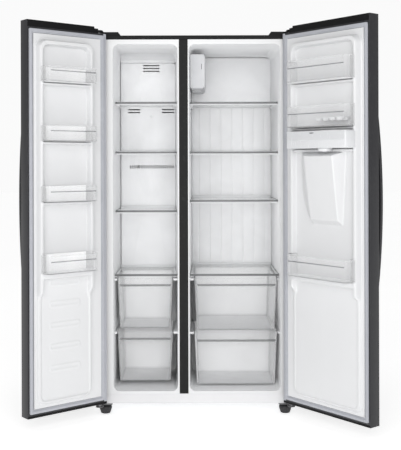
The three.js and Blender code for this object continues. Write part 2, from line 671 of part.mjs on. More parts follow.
function gasket(width) {
  const x0 = -6;
  const x1 = width - HINGE_INSET - 8;
  const ring = (inset, y0, y1) => prism(
    roundedRectangle(x0 + inset, x1 - inset, 84 + inset, 1727 - inset, 6, 2), 'y', y0, y1);
  return ring(0, DOOR_INNER + GAP, GASKET_FACE).subtract(ring(GASKET_WIDTH, 0, 60));
}

// The door's inner liner: flange, plug, dykes up the sides, ledges under the bins, panel below.
function doorLiner(width, [plugX0, plugX1], bins, extras, cuts) {
  const dyke = DYKE_WIDTH;
  const back = DOOR_INNER + GAP;
  const flange = prism(roundedRectangle(13, width - HINGE_INSET - 28, 103, 1708, 8, 3), 'y', back, 34);
  const plug = prism(roundedRectangle(plugX0, plugX1, 118, 1684, 40, 5), 'y', 33, DYKE_FACE);
  const lowestBin = bins[bins.length - 1][0];
  const fieldCorners = rectangle(plugX0 + dyke, plugX1 - dyke, lowestBin - GAP, 1655);
  const field = prism(roundedOutline(fieldCorners, [2, 2, 30, 30], 5), 'y', 37, DYKE_FACE + 1);
  const lower = prism([[46, 90], [71, 90], [71, 606], [46, 574]], 'x', plugX0 - 1, plugX1 + 1);
  const panelTop = lowestBin - 2 * LEDGE_DROP;
  const middle = box(plugX0 + dyke, plugX1 - dyke, 46, DYKE_FACE + 1, 560, panelTop);
  const recess = prism(roundedRectangle(plugX0 + 10, plugX1 - 18, 130, panelTop, 24, 5), 'y', 42, 47);
  const ribs = [];
  for (let k = 0; k < 5; k += 1) {
    const z = 250 + k * 92;
    ribs.push(prism(roundedRectangle(plugX0 + 60, plugX1 - 60, z, z + 34, 12, 3), 'y', 41, 44));
  }
  const ledges = bins.slice(0, -1).map(([z]) =>
    box(plugX0 + dyke - 1, plugX1 - dyke + 1, 36, DYKE_FACE - 2, z - LEDGE_DROP, z - GAP));
  const carved = cut(flange.add(plug), [field, lower, middle, recess]);
  return cut(unite([carved, ...ribs, ...ledges, ...extras]), cuts);
}

// A bin: narrow back between the dykes, wide front that wraps them.
function bin([plugX0, plugX1], frontX0, frontX1, [z0, z1, line]) {
  const dyke = DYKE_WIDTH + 2.5;
  const plan = (t) => roundedOutline([
    [plugX0 + dyke + t, 39 + t], [plugX1 - dyke - t, 39 + t], [plugX1 - dyke - t, 73 + t],
    [plugX1 - 4 - t, 73 + t], [frontX1 - t, BIN_FACE - t], [frontX0 + t, BIN_FACE - t],
    [plugX0 + 4 + t, 73 + t], [plugX0 + dyke + t, 73 + t],
  ], [0, 0, 0, 0, 10, 10, 0, 0], 3);
  const outer = prism(plan(0), 'z', z0, z1);
  const inner = prism(plan(2.2), 'z', z0 + 2.2, z1 + 1);
  const ridge = box(frontX0 + 8, frontX1 - 8, BIN_FACE - 1, BIN_FACE + 2, line - 2, line + 2);
  return outer.subtract(inner).add(ridge);
}

function freezerBin(level) {
  return bin(FREEZER_PLUG, 90, 330, level);
}

function fridgeBin(level) {
  return bin(FRIDGE_PLUG, 100, 438, level);
}

function waterTank() {
  return fridgeBin([TANK[0], TANK[1], (TANK[0] + TANK[1]) / 2]);
}

function dispenserBulge() {
  const { x0, x1, z0, z1, shallow, deep } = BULGE;
  const foot = 33;
  const corners = [
    [x0, shallow, z0], [x1, shallow, z0], [x1, deep, z1], [x0, deep, z1],
    [x0 - 2, foot, z0 - 6], [x1 + 20, foot, z0 - 6], [x1 + 42, foot, z1 + 4], [x0 - 92, foot, z1 + 4],
  ];
  return toSolid(new ConvexGeometry(corners.map((corner) => new THREE.Vector3(...corner))));
}

function tankLedge() {
  return box(81, 423, 36, DYKE_FACE - 2, TANK[0] - LEDGE_DROP - 2, TANK[0] - GAP);
}

function dispenserHousing() {
  const { x0, x1, z0, z1, wall, behind } = TUB;
  const rim = 13;
  const outer = tubBlock(DOOR_OUTER - 1, wall, behind - wall);
  const flange = prism(roundedRectangle(x0 - rim, x1 + rim, z0 - rim, z1 + rim, 12, 4), 'y',
    DOOR_OUTER - 2.5, DOOR_OUTER - GAP);
  const opening = prism(roundedRectangle(x0, x1, z0, z1, 18, 4), 'y', -60, BULGE.deep);
  const cavity = opening.intersect(tubBlock(-60, 1, behind));
  const middle = (x0 + x1) / 2;
  const nozzle = cylinder(11, 'z', [middle, NOZZLE_Y], z1 - 24, z1 + 1, 16);
  const ears = [middle - 38, middle + 33].map((x) =>
    box(x, x + 5, LEVER_Y - 10, LEVER_Y + 10, z1 - 36, z1 + 1));
  return unite([cut(unite([outer, flange]), [cavity]), nozzle, ...ears]);
}

function dispenserLever() {
  const middle = (TUB.x0 + TUB.x1) / 2;
  const axis = TUB.z1 - 24;
  const tip = axis - 118;
  const rod = cylinder(4, 'x', [LEVER_Y, axis], middle - 32, middle + 32, 12);
  const profile = [[LEVER_Y - 3, axis], [LEVER_Y + 3, axis], [LEVER_Y - 10, tip], [LEVER_Y - 16, tip]];
  const paddle = prism(roundedOutline(profile, [0, 0, 2.5, 2.5], 2), 'x', middle - 24, middle + 24);
  return rod.add(paddle);
}

// A bowed bar seen from the side: its feet stand on the door's face at both ends.
function handle(x0, x1) {
  const middle = (HANDLE_Z0 + HANDLE_Z1) / 2;
  const half = (HANDLE_Z1 - HANDLE_Z0) / 2;
  const rise = (z) => 6 + (HANDLE_REACH - 6) * (1 - ((z - middle) / half) ** 2);
  const face = DOOR_OUTER - GAP;
  const outline = [];
  const steps = 18;
  for (let k = 0; k <= steps; k += 1) {
    const z = HANDLE_Z0 + ((HANDLE_Z1 - HANDLE_Z0) * k) / steps;
    outline.push([face - rise(z), z]);
  }
  outline.push([face, HANDLE_Z1]);
  const reach = half * 0.74;
  for (let k = 0; k <= steps; k += 1) {
    const z = middle + reach - (2 * reach * k) / steps;
    const y = face - Math.max(rise(z) - HANDLE_BAR, 0);
    outline.push([y, z]);
  }
  outline.push([face, HANDLE_Z0]);
  return prism(outline.reverse(), 'x', x0, x1);
}

// ---------------------------------------------------------------- placing

function placeDoorPart(solid, side, angle) {
  const geometry = toGeometry(side < 0 ? solid : solid.mirror([1, 0, 0]));
  const [x, y] = hingeAxis(side);
  geometry.rotateZ(THREE.MathUtils.degToRad(side * angle));
  geometry.translate(x, y, 0);
  return geometry;
}

const finishes = {
  graphite: [0x46464a, 0.35, 0.7],
  black: [0x1d1d1f, 0.45, 0.1],
  white: [0xeeeeee, 0.4, 0],
  foam: [0xe8dcb4, 0.9, 0],
  rim: [0xb6b8bd, 0.5, 0.1],
  steel: [0x9c9ea2, 0.35, 0.9],
  clear: [0xdfe6e8, 0.1, 0],
  rubber: [0x232325, 0.8, 0],
  aluminium: [0xc3c6c9, 0.4, 0.9],
};

function build() {
  const group = new THREE.Group();
  const add = (name, geometry, finish) => {
    const [color, roughness, metalness] = finishes[finish];
    const material = new THREE.MeshStandardMaterial({ color, roughness, metalness, name: finish });
    geometry.computeVertexNormals();
    const mesh = new THREE.Mesh(geometry, material);
    mesh.name = name;
    group.add(mesh);
  };
  const addCabinet = (name, solid, finish) => add(name, toGeometry(solid), finish);

  addCabinet('outer_wrap', outerWrap(), 'graphite');
  addCabinet('back_panel', backPanel(), 'steel');
  addCabinet('base_plate', basePlate(), 'steel');
  addCabinet('cabinet_foam', cabinetFoam(), 'foam');
  addCabinet('freezer_liner', freezerLiner(), 'white');
  addCabinet('fridge_liner', fridgeLiner(), 'white');
  addCabinet('kick_panel', kickPanel(), 'white');
  addCabinet('top_trim', topTrim(), 'black');
  addCabinet('divider_strip', dividerStrip(), 'black');
  addCabinet('machine_room_cover', machineRoomCover(), 'steel');
  addCabinet('compressor', compressor(), 'black');
  addCabinet('evaporator_cover', evaporatorCover(), 'white');
  addCabinet('evaporator', evaporator(), 'aluminium');
  addCabinet('evaporator_fan', evaporatorFan(), 'black');
  addCabinet('fridge_duct_cover', fridgeDuctCover(), 'white');
  addCabinet('lamp_box', lampBox(), 'white');
  [['left', -1], ['right', 1]].forEach(([word, side]) => {
    addCabinet(`hinge_cover_${word}`, hingeCover(side), 'black');
    addCabinet(`upper_hinge_${word}`, upperHinge(side), 'steel');
    addCabinet(`lower_hinge_${word}`, lowerHinge(side), 'steel');
    addCabinet(`front_foot_${word}`, foot(side), 'rubber');
    addCabinet(`rear_roller_${word}`, roller(side * ROLLER_X), 'rubber');
  });
  FREEZER_SHELVES.forEach((level, k) => {
    addCabinet(`freezer_shelf_${k + 1}`, freezerShelf(level, SHELF_FRONT), 'clear');
  });
  addCabinet('freezer_drawer_cover', freezerShelf(COVER_LEVEL, COVER_FRONT), 'clear');
  FRIDGE_SHELVES.forEach((level, k) => {
    addCabinet(`fridge_shelf_${k + 1}`, fridgeShelf(level, SHELF_FRONT), 'clear');
  });
  addCabinet('crisper_cover', fridgeShelf(COVER_LEVEL, COVER_FRONT), 'clear');
  addCabinet('freezer_drawer_upper', freezerDrawer(UPPER_DRAWER, 350, 325), 'clear');
  addCabinet('freezer_drawer_lower', freezerDrawer(LOWER_DRAWER, 350, 325), 'clear');
  addCabinet('crisper_upper', fridgeCrisper(CRISPER_UPPER, 465, 452), 'clear');
  addCabinet('crisper_lower', fridgeCrisper(CRISPER_LOWER, 340, 318), 'clear');

  const addFreezerDoor = (name, solid, finish) =>
    add(name, placeDoorPart(solid, -1, FREEZER_DOOR_ANGLE), finish);
  addFreezerDoor('freezer_door_shell', doorShell(FREEZER_DOOR_WIDTH, []), 'graphite');
  addFreezerDoor('freezer_door_top_cap', topCap(FREEZER_DOOR_WIDTH), 'black');
  addFreezerDoor('freezer_door_bottom_cap', bottomCap(FREEZER_DOOR_WIDTH), 'black');
  addFreezerDoor('freezer_door_gasket', gasket(FREEZER_DOOR_WIDTH), 'rim');
  addFreezerDoor('freezer_door_liner',
    doorLiner(FREEZER_DOOR_WIDTH, FREEZER_PLUG, FREEZER_BINS, [], []), 'white');
  addFreezerDoor('freezer_door_handle', handle(346, 368), 'graphite');
  FREEZER_BINS.forEach((level, k) => addFreezerDoor(`freezer_bin_${k + 1}`, freezerBin(level), 'clear'));

  const addFridgeDoor = (name, solid, finish) =>
    add(name, placeDoorPart(solid, 1, FRIDGE_DOOR_ANGLE), finish);
  const space = TUB.wall + TUB.clearance;
  const window = tubBlock(-60, space, TUB.behind - space);
  addFridgeDoor('fridge_door_shell', doorShell(FRIDGE_DOOR_WIDTH, [window]), 'graphite');
  addFridgeDoor('fridge_door_top_cap', topCap(FRIDGE_DOOR_WIDTH), 'black');
  addFridgeDoor('fridge_door_bottom_cap', bottomCap(FRIDGE_DOOR_WIDTH), 'black');
  addFridgeDoor('fridge_door_gasket', gasket(FRIDGE_DOOR_WIDTH), 'rim');
  addFridgeDoor('fridge_door_liner',
    doorLiner(FRIDGE_DOOR_WIDTH, FRIDGE_PLUG, FRIDGE_BINS, [dispenserBulge(), tankLedge()], [window]),
    'white');
  addFridgeDoor('fridge_door_handle', handle(450, 472), 'graphite');
  FRIDGE_BINS.forEach((level, k) => addFridgeDoor(`fridge_bin_${k + 1}`, fridgeBin(level), 'clear'));
  addFridgeDoor('water_tank', waterTank(), 'clear');
  addFridgeDoor('dispenser_housing', dispenserHousing(), 'black');
  addFridgeDoor('dispenser_lever', dispenserLever(), 'black');

  const bounds = new THREE.Box3().setFromObject(group);
  const centre = bounds.getCenter(new THREE.Vector3());
  group.children.forEach((mesh) => mesh.geometry.translate(-centre.x, -centre.y, -bounds.min.z));
  return group;
}

export default build();
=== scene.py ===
"""A side by side refrigerator with both doors open: freezer on the left, fresh food on the right.

Shapes are modelled in millimetres in the frame of the cabinet or of a door, then put in place.
Cabinet frame: X to the right, Y from the front flange to the back, Z up from the floor.
Door frame: x from the hinge axis along the door, y from the outer skin towards the liner, z up.
"""

import json
import math

import bmesh
import bpy
from mathutils import Matrix, Vector


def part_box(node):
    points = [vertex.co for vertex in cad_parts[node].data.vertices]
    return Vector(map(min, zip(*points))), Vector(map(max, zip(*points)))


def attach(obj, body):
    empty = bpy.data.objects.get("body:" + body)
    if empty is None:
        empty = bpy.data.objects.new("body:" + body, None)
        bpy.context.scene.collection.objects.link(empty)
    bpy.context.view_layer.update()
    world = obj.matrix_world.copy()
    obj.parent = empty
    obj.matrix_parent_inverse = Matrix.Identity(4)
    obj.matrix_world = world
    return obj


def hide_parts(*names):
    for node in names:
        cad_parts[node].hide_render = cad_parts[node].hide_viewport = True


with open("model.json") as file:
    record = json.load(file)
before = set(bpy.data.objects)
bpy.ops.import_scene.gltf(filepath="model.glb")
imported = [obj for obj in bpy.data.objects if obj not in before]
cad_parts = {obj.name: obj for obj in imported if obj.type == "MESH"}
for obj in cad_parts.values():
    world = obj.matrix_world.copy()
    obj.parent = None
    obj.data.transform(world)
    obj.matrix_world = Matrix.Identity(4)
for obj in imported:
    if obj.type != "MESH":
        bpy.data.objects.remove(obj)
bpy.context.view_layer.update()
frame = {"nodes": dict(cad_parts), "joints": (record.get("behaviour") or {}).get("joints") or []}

MM = 0.001
MM_TO_M = Matrix.Scale(MM, 4)
QUARTER = math.pi / 2


# ---------------------------------------------------------------- frames taken from the model


def cabinet_place():
    """Cabinet frame, in millimetres, to the row frame, in metres."""
    low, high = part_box("outer_wrap")
    return Matrix.Translation(((low.x + high.x) / 2, low.y, 0)) @ MM_TO_M


def door_place(joint_name, mirrored):
    """Door frame, in millimetres, to the row frame, in metres, with the door at rest."""
    joint = next(j for j in frame["joints"] if j["name"] == joint_name)
    turn = -math.radians(joint["range_deg"][0]) * joint["axis"][2]
    place = Matrix.Translation(joint["pos_m"]) @ Matrix.Rotation(turn, 4, "Z")
    if mirrored:
        place = place @ Matrix.Scale(-1, 4, (1, 0, 0))
    return place @ MM_TO_M


CABINET = cabinet_place()
FREEZER_DOOR = door_place("freezer_door_hinge", False)
FRIDGE_DOOR = door_place("fridge_door_hinge", True)


def points_of(node, place):
    """The points of a node of the model in the given frame, in millimetres."""
    back = place.inverted()
    return [back @ v.co for v in frame["nodes"][node].data.vertices]


def span(node, place):
    """Lowest and highest corner of a node in the given frame, in millimetres."""
    points = points_of(node, place)
    low = Vector(min(p[i] for p in points) for i in range(3))
    high = Vector(max(p[i] for p in points) for i in range(3))
    return low, high


# ---------------------------------------------------------------- finishes


class Wire:
    """A socket in a finish. Arithmetic on it adds Math nodes."""

    def __init__(self, finish, socket):
        self.finish = finish
        self.socket = socket

    def _math(self, operation, first, second, clamp=False):
        return self.finish.node(
            "ShaderNodeMath", {"operation": operation, "use_clamp": clamp}, {0: first, 1: second}
        )

    def __add__(self, other):
        return self._math("ADD", self, other)

    __radd__ = __add__

    def __mul__(self, other):
        return self._math("MULTIPLY", self, other)

    __rmul__ = __mul__

    def clamped(self):
        return self._math("ADD", self, 0.0, clamp=True)

    def between(self, low, high):
        """0 below low, 1 above high, smooth in between."""
        settings = {"interpolation_type": "SMOOTHSTEP"}
        inputs = {"Value": self, "From Min": low, "From Max": high}
        return self.finish.node("ShaderNodeMapRange", settings, inputs)


class Finish:
    """A material under construction, around one Principled shader."""

    def __init__(self, name, **constants):
        self.material = bpy.data.materials.new(name)
        self.material.use_nodes = True
        self.tree = self.material.node_tree
        self.shader = self.tree.nodes["Principled BSDF"]
        for key, value in constants.items():
            self.shader.inputs[key.replace("_", " ")].default_value = value

    def node(self, kind, settings=None, inputs=None, output=0):
        made = self.tree.nodes.new(kind)
        for key, value in (settings or {}).items():
            setattr(made, key, value)
        for key, value in (inputs or {}).items():
            self.feed(made.inputs[key], value)
        return Wire(self, made.outputs[output])

    def feed(self, socket, value):
        if isinstance(value, Wire):
            self.tree.links.new(value.socket, socket)
        else:
            socket.default_value = value

    def surface(self, **inputs):
        for key, value in inputs.items():
            self.feed(self.shader.inputs[key.replace("_", " ")], value)
        return self

    def place(self, stretch=(1, 1, 1)):
        """Object coordinates, in metres, stretched along the axes."""
        spot = self.node("ShaderNodeTexCoord", output="Object")
        return self.node("ShaderNodeMapping", {}, {"Vector": spot, "Scale": stretch})

    def noise(self, scale, detail=2.0, roughness=0.5, stretch=(1, 1, 1), distortion=0.0):
        inputs = {
            "Vector": self.place(stretch),
            "Scale": scale,
            "Detail": detail,
            "Roughness": roughness,
            "Distortion": distortion,
        }
        return self.node("ShaderNodeTexNoise", {}, inputs)

    def cells(self, scale, stretch=(1, 1, 1), feature="F1", output="Distance"):
        inputs = {"Vector": self.place(stretch), "Scale": scale}
        return self.node("ShaderNodeTexVoronoi", {"feature": feature}, inputs, output)

    def tint(self, factor, first, second):
        """A colour that goes from the first to the second with the factor."""
        ends = [end if isinstance(end, Wire) else (*end, 1) for end in (first, second)]
        inputs = {0: factor, 6: ends[0], 7: ends[1]}
        return self.node("ShaderNodeMix", {"data_type": "RGBA"}, inputs, 2)

    def edge_on(self, blend=0.5):
        """0 where the surface faces the eye, 1 where it is seen edge on."""
        return self.node("ShaderNodeLayerWeight", {}, {"Blend": blend}, "Facing")

    def relief(self, height, depth, strength=1.0):
        inputs = {"Height": height, "Distance": depth, "Strength": strength}
        self.feed(self.shader.inputs["Normal"], self.node("ShaderNodeBump", {}, inputs))
        return self


def shade(colour, factor):
    return tuple(channel * factor for channel in colour)


def satin_paint(name, colour, roughness=0.34, shine=0.3, coat=0.06):
    """Baked enamel on sheet steel: faint orange peel, slight unevenness and dust."""
    finish = Finish(name, Coat_Weight=coat, Coat_Roughness=0.25, Specular_IOR_Level=shine)
    peel = finish.noise(420, 1.5)
    cloud = finish.noise(3.2, 3.0)
    dust = finish.noise(60, 4.0).between(0.52, 0.78)
    body = finish.tint(cloud, shade(colour, 0.9), shade(colour, 1.1))
    mixed = finish.tint(dust * 0.03, body, (0.3, 0.3, 0.3))
    finish.surface(Base_Color=mixed, Roughness=roughness + 0.1 * cloud + 0.06 * dust)
    return finish.relief(peel, 0.00025, 0.35).material


def moulded_plastic(name, colour, roughness=0.42, grain=900, depth=0.00018, shine=0.45):
    """Injection moulded plastic with a fine spark-eroded grain."""
    finish = Finish(name, Specular_IOR_Level=shine)
    grains = finish.noise(grain, 3.0)
    flow = finish.noise(5.5, 3.0, distortion=0.6)
    body = finish.tint(flow, shade(colour, 0.88), shade(colour, 1.14))
    finish.surface(Base_Color=body, Roughness=roughness + 0.12 * flow + 0.08 * grains)
    return finish.relief(grains, depth, 0.5).material


def liner_plastic(name, colour, roughness=0.3, mouth=None):
    """Thermoformed white sheet: slow waves from forming, stretch marks and a soft gloss.

    The flange at the mouth, up to that Y in metres, is painted darker than the drawn walls as
    painted shade.
    """
    finish = Finish(name, Specular_IOR_Level=0.45)
    waves = finish.noise(7.0, 2.0, stretch=(1, 1, 0.4))
    pull = finish.noise(26, 3.0, stretch=(1, 1, 0.12))
    skin = finish.noise(620, 2.0)
    body = finish.tint(waves, shade(colour, 0.975), shade(colour, 1.015))
    if mouth is not None:
        # Painted shade: the white is darkened to 0.8 at the flange and fades back to full over 8 mm
        # into the compartment.
        depth = finish.node("ShaderNodeSeparateXYZ", {}, {"Vector": finish.place()}, 1)
        inside = depth.between(mouth, mouth + 0.008)
        body = finish.tint(inside, shade(colour, 0.8), body)
    finish.surface(Base_Color=body, Roughness=roughness + 0.12 * pull)
    height = waves * 1.0 + pull * 0.12 + skin * 0.03
    return finish.relief(height, 0.0012, 0.4).material


def clear_plastic(name, colour, face, rim, roughness=0.09, depth=0.8):
    """Clear styrene: nearly open when faced, milky where its walls are seen edge on, and painted
    darker there as painted shade.
    """
    finish = Finish(name, IOR=1.57)
    edge = finish.edge_on(0.35)
    swirl = finish.noise(9, 3.0, distortion=1.2)
    scuff = finish.noise(140, 4.0, stretch=(1, 1, 0.2)).between(0.58, 0.8)
    # Painted shade: the colour darkens towards shade(colour, depth) where a wall is seen edge on;
    # the swirl adds a little random tone.
    body = finish.tint((0.8 * edge + 0.2 * swirl).clamped(), colour, shade(colour, depth))
    finish.surface(
        Base_Color=body,
        Roughness=roughness + 0.1 * scuff,
        Alpha=(face + rim * edge + 0.035 * swirl + 0.03 * scuff).clamped(),
    )
    return finish.relief(swirl + 0.1 * scuff, 0.0006, 0.3).material


def plate_glass(name):
    """Toughened shelf glass with a faint green cast, wiped by hand."""
    finish = Finish(name, IOR=1.5, Specular_IOR_Level=0.6)
    smear = finish.noise(7, 4.0, stretch=(0.35, 1.6, 1), distortion=0.8)
    edge = finish.edge_on(0.4)
    body = finish.tint(smear, (0.80, 0.84, 0.83), (0.88, 0.90, 0.89))
    finish.surface(
        Base_Color=body,
        Roughness=0.03 + 0.07 * smear,
        Alpha=(0.04 + 0.16 * edge * edge + 0.03 * smear).clamped(),
    )
    return finish.relief(smear, 0.0002, 0.2).material


def brushed_trim(name, colour, metallic=0.35, roughness=0.35):
    """Extruded trim with fine lines along its length."""
    finish = Finish(name, Metallic=metallic)
    lines = finish.noise(900, 2.0, stretch=(0.01, 1, 1))
    cloud = finish.noise(9, 2.0)
    body = finish.tint(lines, shade(colour, 0.86), shade(colour, 1.12))
    finish.surface(Base_Color=body, Roughness=roughness + 0.12 * lines + 0.05 * cloud)
    return finish.relief(lines, 0.0001, 0.4).material


def spangled_zinc(name):
    """Hot dip galvanised sheet with its crystal spangle and white bloom."""
    finish = Finish(name, Metallic=0.85)
    spangle = finish.cells(85, output="Color")
    patch = finish.node("ShaderNodeSeparateColor", {}, {"Color": spangle})
    bloom = finish.noise(11, 4.0).between(0.5, 0.8)
    tone = 0.75 * patch + 0.25 * bloom
    body = finish.tint(tone.clamped(), (0.36, 0.37, 0.385), (0.6, 0.61, 0.62))
    finish.surface(Base_Color=body, Roughness=0.34 + 0.2 * patch + 0.1 * bloom)
    return finish.relief(patch, 0.0001, 0.3).material


def plated_steel(name, colour=(0.56, 0.56, 0.55)):
    """Zinc plated pressed steel with light tool marks."""
    finish = Finish(name, Metallic=0.95)
    marks = finish.noise(260, 3.0, stretch=(1, 0.08, 1))
    haze = finish.noise(24, 3.0)
    body = finish.tint(haze, shade(colour, 0.85), shade(colour, 1.1))
    finish.surface(Base_Color=body, Roughness=0.28 + 0.14 * haze + 0.08 * marks)
    return finish.relief(marks, 0.00008, 0.5).material


def soft_rubber(name, colour, roughness=0.62):
    """Extruded sealing vinyl or rubber with fine streaks and dust."""
    finish = Finish(name, Specular_IOR_Level=0.35)
    streak = finish.noise(300, 2.0, stretch=(1, 1, 0.05))
    dust = finish.noise(45, 5.0).between(0.5, 0.8)
    mottle = (0.6 * streak + 0.5 * dust).clamped()
    body = finish.tint(mottle, shade(colour, 0.93), shade(colour, 1.08))
    finish.surface(Base_Color=body, Roughness=roughness + 0.12 * dust)
    return finish.relief(streak + 0.3 * dust, 0.00015, 0.4).material


def rigid_foam(name):
    finish = Finish(name, Roughness=0.95)
    bubbles = finish.cells(420)
    swell = finish.noise(14, 3.0)
    body = finish.tint(swell, (0.62, 0.53, 0.34), (0.74, 0.66, 0.45))
    finish.surface(Base_Color=body)
    return finish.relief(bubbles + 2.0 * swell, 0.002, 0.6).material


def pump_enamel(name):
    """Black enamel on the compressor, dulled by patches of dust."""
    finish = Finish(name, Coat_Weight=0.3, Coat_Roughness=0.2)
    dust = finish.noise(30, 5.0).between(0.45, 0.75)
    peel = finish.noise(240, 2.0)
    body = finish.tint(dust, (0.014, 0.014, 0.015), (0.06, 0.057, 0.052))
    finish.surface(Base_Color=body, Roughness=0.3 + 0.3 * dust)
    return finish.relief(peel, 0.0003, 0.4).material


def fin_stock(name):
    """Aluminium fin stock with rolling lines and some frost haze."""
    finish = Finish(name, Metallic=0.9)
    lines = finish.noise(700, 2.0, stretch=(1, 1, 0.02))
    haze = finish.noise(20, 4.0).between(0.4, 0.75)
    body = finish.tint(haze, (0.62, 0.63, 0.64), (0.82, 0.84, 0.86))
    finish.surface(Base_Color=body, Roughness=0.3 + 0.25 * haze + 0.08 * lines)
    return finish.relief(lines, 0.0001, 0.4).material


def plain_floor(name):
    finish = Finish(name, Specular_IOR_Level=0.1, Emission_Strength=0.66)
    cloud = finish.noise(0.8, 3.0)
    body = finish.tint(cloud, (0.90, 0.90, 0.90), (0.93, 0.93, 0.93))
    finish.surface(Base_Color=body, Emission_Color=body, Roughness=0.7 + 0.1 * cloud)
    return finish.relief(finish.noise(30, 2.0), 0.0005, 0.1).material


GRAPHITE = satin_paint("graphite_enamel", (0.036, 0.036, 0.038))
DOOR_SKIN = satin_paint("door_skin_enamel", (0.027, 0.027, 0.030), 0.3)
WHITE_ENAMEL = satin_paint("white_enamel", (0.72, 0.72, 0.73), 0.4)
STRIP_ENAMEL = satin_paint("divider_enamel", (0.014, 0.014, 0.014), 0.5, 0.14, 0.0)
BLACK_PLASTIC = moulded_plastic("black_plastic", (0.007, 0.007, 0.0075), shine=0.15)
# The cabinet liner white carries painted shade on the flange at its mouth.
LINER_WHITE = liner_plastic("cabinet_liner_white", (0.91, 0.914, 0.922),
                            mouth=CABINET.translation.y + 0.0005)
# Painted shade: the door liner is a little greyer than the cabinet liner, and set much darker still
# to offset the stronger light on the doors.
DOOR_WHITE = liner_plastic("door_liner_white", (0.71, 0.714, 0.722))
PANEL_WHITE = moulded_plastic("panel_white", (0.82, 0.824, 0.833), 0.36, 700, 0.0001)
# Painted shade: the lamp cover is set well below its near-white so that the direct light on its
# front face does not make it stand out.
FROSTED = moulded_plastic("frosted_lamp_cover", (0.60, 0.605, 0.62), 0.5, 500, 0.0002)
DRAWER_BACK = moulded_plastic("frosted_drawer_plastic", (0.92, 0.924, 0.93), 0.35, 600, 0.0002)
CLEAR_BIN = clear_plastic("clear_bin_plastic", (0.93, 0.935, 0.945), 0.05, 0.30)
CLEAR_DRAWER = clear_plastic("clear_drawer_plastic", (0.88, 0.885, 0.90), 0.03, 0.30)
DRAWER_SIDE = clear_plastic("misty_drawer_side", (0.92, 0.924, 0.93), 0.66, 0.25, 0.2, 0.95)
MILKY = clear_plastic("milky_tank_plastic", (0.84, 0.85, 0.865), 0.7, 0.25, 0.25, 0.9)
GRIP_GREY = clear_plastic("smoked_grip_plastic", (0.26, 0.265, 0.27), 0.62, 0.3, 0.2)
# Dark grey that paints a shadow line, used on the front ridge of the door bins and on a block of
# the tank lid.
LINE_GREY = clear_plastic("shadow_line_plastic", (0.20, 0.205, 0.215), 0.72, 0.25, 0.2)
GLASS = plate_glass("shelf_glass")
GLASS_EDGE = clear_plastic("cut_glass_edge", (0.15, 0.17, 0.165), 0.8, 0.18, 0.12)
SHELF_TRIM = brushed_trim("shelf_front_trim", (0.13, 0.13, 0.135))
# Painted shade: this white, also used for the egg tray, tank lid and spout, is set darker so the
# lit shelf lips don't outshine the back wall.
SHELF_WHITE = moulded_plastic("shelf_white_trim", (0.70, 0.705, 0.715), 0.35, 700, 0.0001)
ZINC_SHEET = spangled_zinc("galvanised_sheet")
PLATED = plated_steel("plated_steel")
BLACKENED = plated_steel("blackened_bracket_steel", (0.16, 0.16, 0.165))
GASKET_GREY = soft_rubber("gasket_vinyl", (0.43, 0.44, 0.475))
FOOT_RUBBER = soft_rubber("foot_plastic", (0.028, 0.028, 0.03), 0.5)
FOAM = rigid_foam("insulating_foam")
PUMP_BLACK = pump_enamel("compressor_enamel")
FIN_ALUMINIUM = fin_stock("evaporator_fins")
SENSOR_GREY = moulded_plastic("sensor_grey", (0.09, 0.09, 0.095), 0.5)


# ---------------------------------------------------------------- shaping helpers

SWAP_YZ = Matrix(((1, 0, 0, 0), (0, 0, 1, 0), (0, 1, 0, 0), (0, 0, 0, 1)))


def lerp(a, b, t):
    return a + (b - a) * t


def ease(t):
    """A smooth 0 to 1 step for t from 0 to 1."""
    t = min(max(t, 0.0), 1.0)
    return t * t * (3 - 2 * t)


BROAD_AREA = 0.006
BROAD_WIDTH = 0.012


def is_broad(face):
    """Whether a face is a wide flat, in metres. Rounded edges would tilt its shading."""
    area = face.calc_area()
    return area > BROAD_AREA and 2 * area / face.calc_perimeter() > BROAD_WIDTH


def finish_piece(name, bm, finishes, body, stands_for=(), place=None, crease=35):
    """Puts a shape in its place as a piece that rides on a body."""
    if place is not None:
        bm.transform(place)
        if place.determinant() < 0:
            bmesh.ops.reverse_faces(bm, faces=bm.faces)
    mesh = bpy.data.meshes.new(name)
    for face in bm.faces:
        face.smooth = not is_broad(face)
    bm.to_mesh(mesh)
    bm.free()
    for finish in finishes:
        mesh.materials.append(finish)
    mesh.set_sharp_from_angle(angle=math.radians(crease))
    piece = bpy.data.objects.new(name, mesh)
    bpy.context.scene.collection.objects.link(piece)
    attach(piece, body)
    if stands_for:
        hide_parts(*stands_for)
    return piece


def open_rim(bm):
    return [edge for edge in bm.edges if edge.is_boundary]


def close_rim(bm):
    rim = open_rim(bm)
    if rim:
        bmesh.ops.holes_fill(bm, edges=rim, sides=0)
    bmesh.ops.recalc_face_normals(bm, faces=bm.faces)


def rounded_plate(bm, section, radius, segments=6):
    """A flat rounded rectangle. A section is (u0, u1, v0, v1, w): two spans and a level."""
    u0, u1, v0, v1, w = section
    corners = bmesh.ops.create_grid(bm, x_segments=1, y_segments=1, size=0.5)["verts"]
    for corner in corners:
        corner.co = Vector((lerp(u0, u1, corner.co.x + 0.5), lerp(v0, v1, corner.co.y + 0.5), w))
    if radius:
        bmesh.ops.bevel(bm, geom=corners, offset=radius, segments=segments, profile=0.5,
                        affect="VERTICES", material=-1)


def carry_rim(bm, old, new):
    """Draws the open rim out from one section to the next."""
    made = bmesh.ops.extrude_edge_only(bm, edges=open_rim(bm))["geom"]
    for vert in (item for item in made if isinstance(item, bmesh.types.BMVert)):
        u = (vert.co.x - old[0]) / (old[1] - old[0])
        v = (vert.co.y - old[2]) / (old[3] - old[2])
        vert.co = Vector((lerp(new[0], new[1], u), lerp(new[2], new[3], v), new[4]))


def lofted(bm, sections, radius, segments=6):
    """A closed body: a rounded plate carried through sections and closed at the last one."""
    rounded_plate(bm, sections[0], radius, segments)
    for old, new in zip(sections, sections[1:]):
        carry_rim(bm, old, new)
    close_rim(bm)


def inset_section(section, amount, level):
    u0, u1, v0, v1, _ = section
    return (u0 + amount, u1 - amount, v0 + amount, v1 - amount, level)


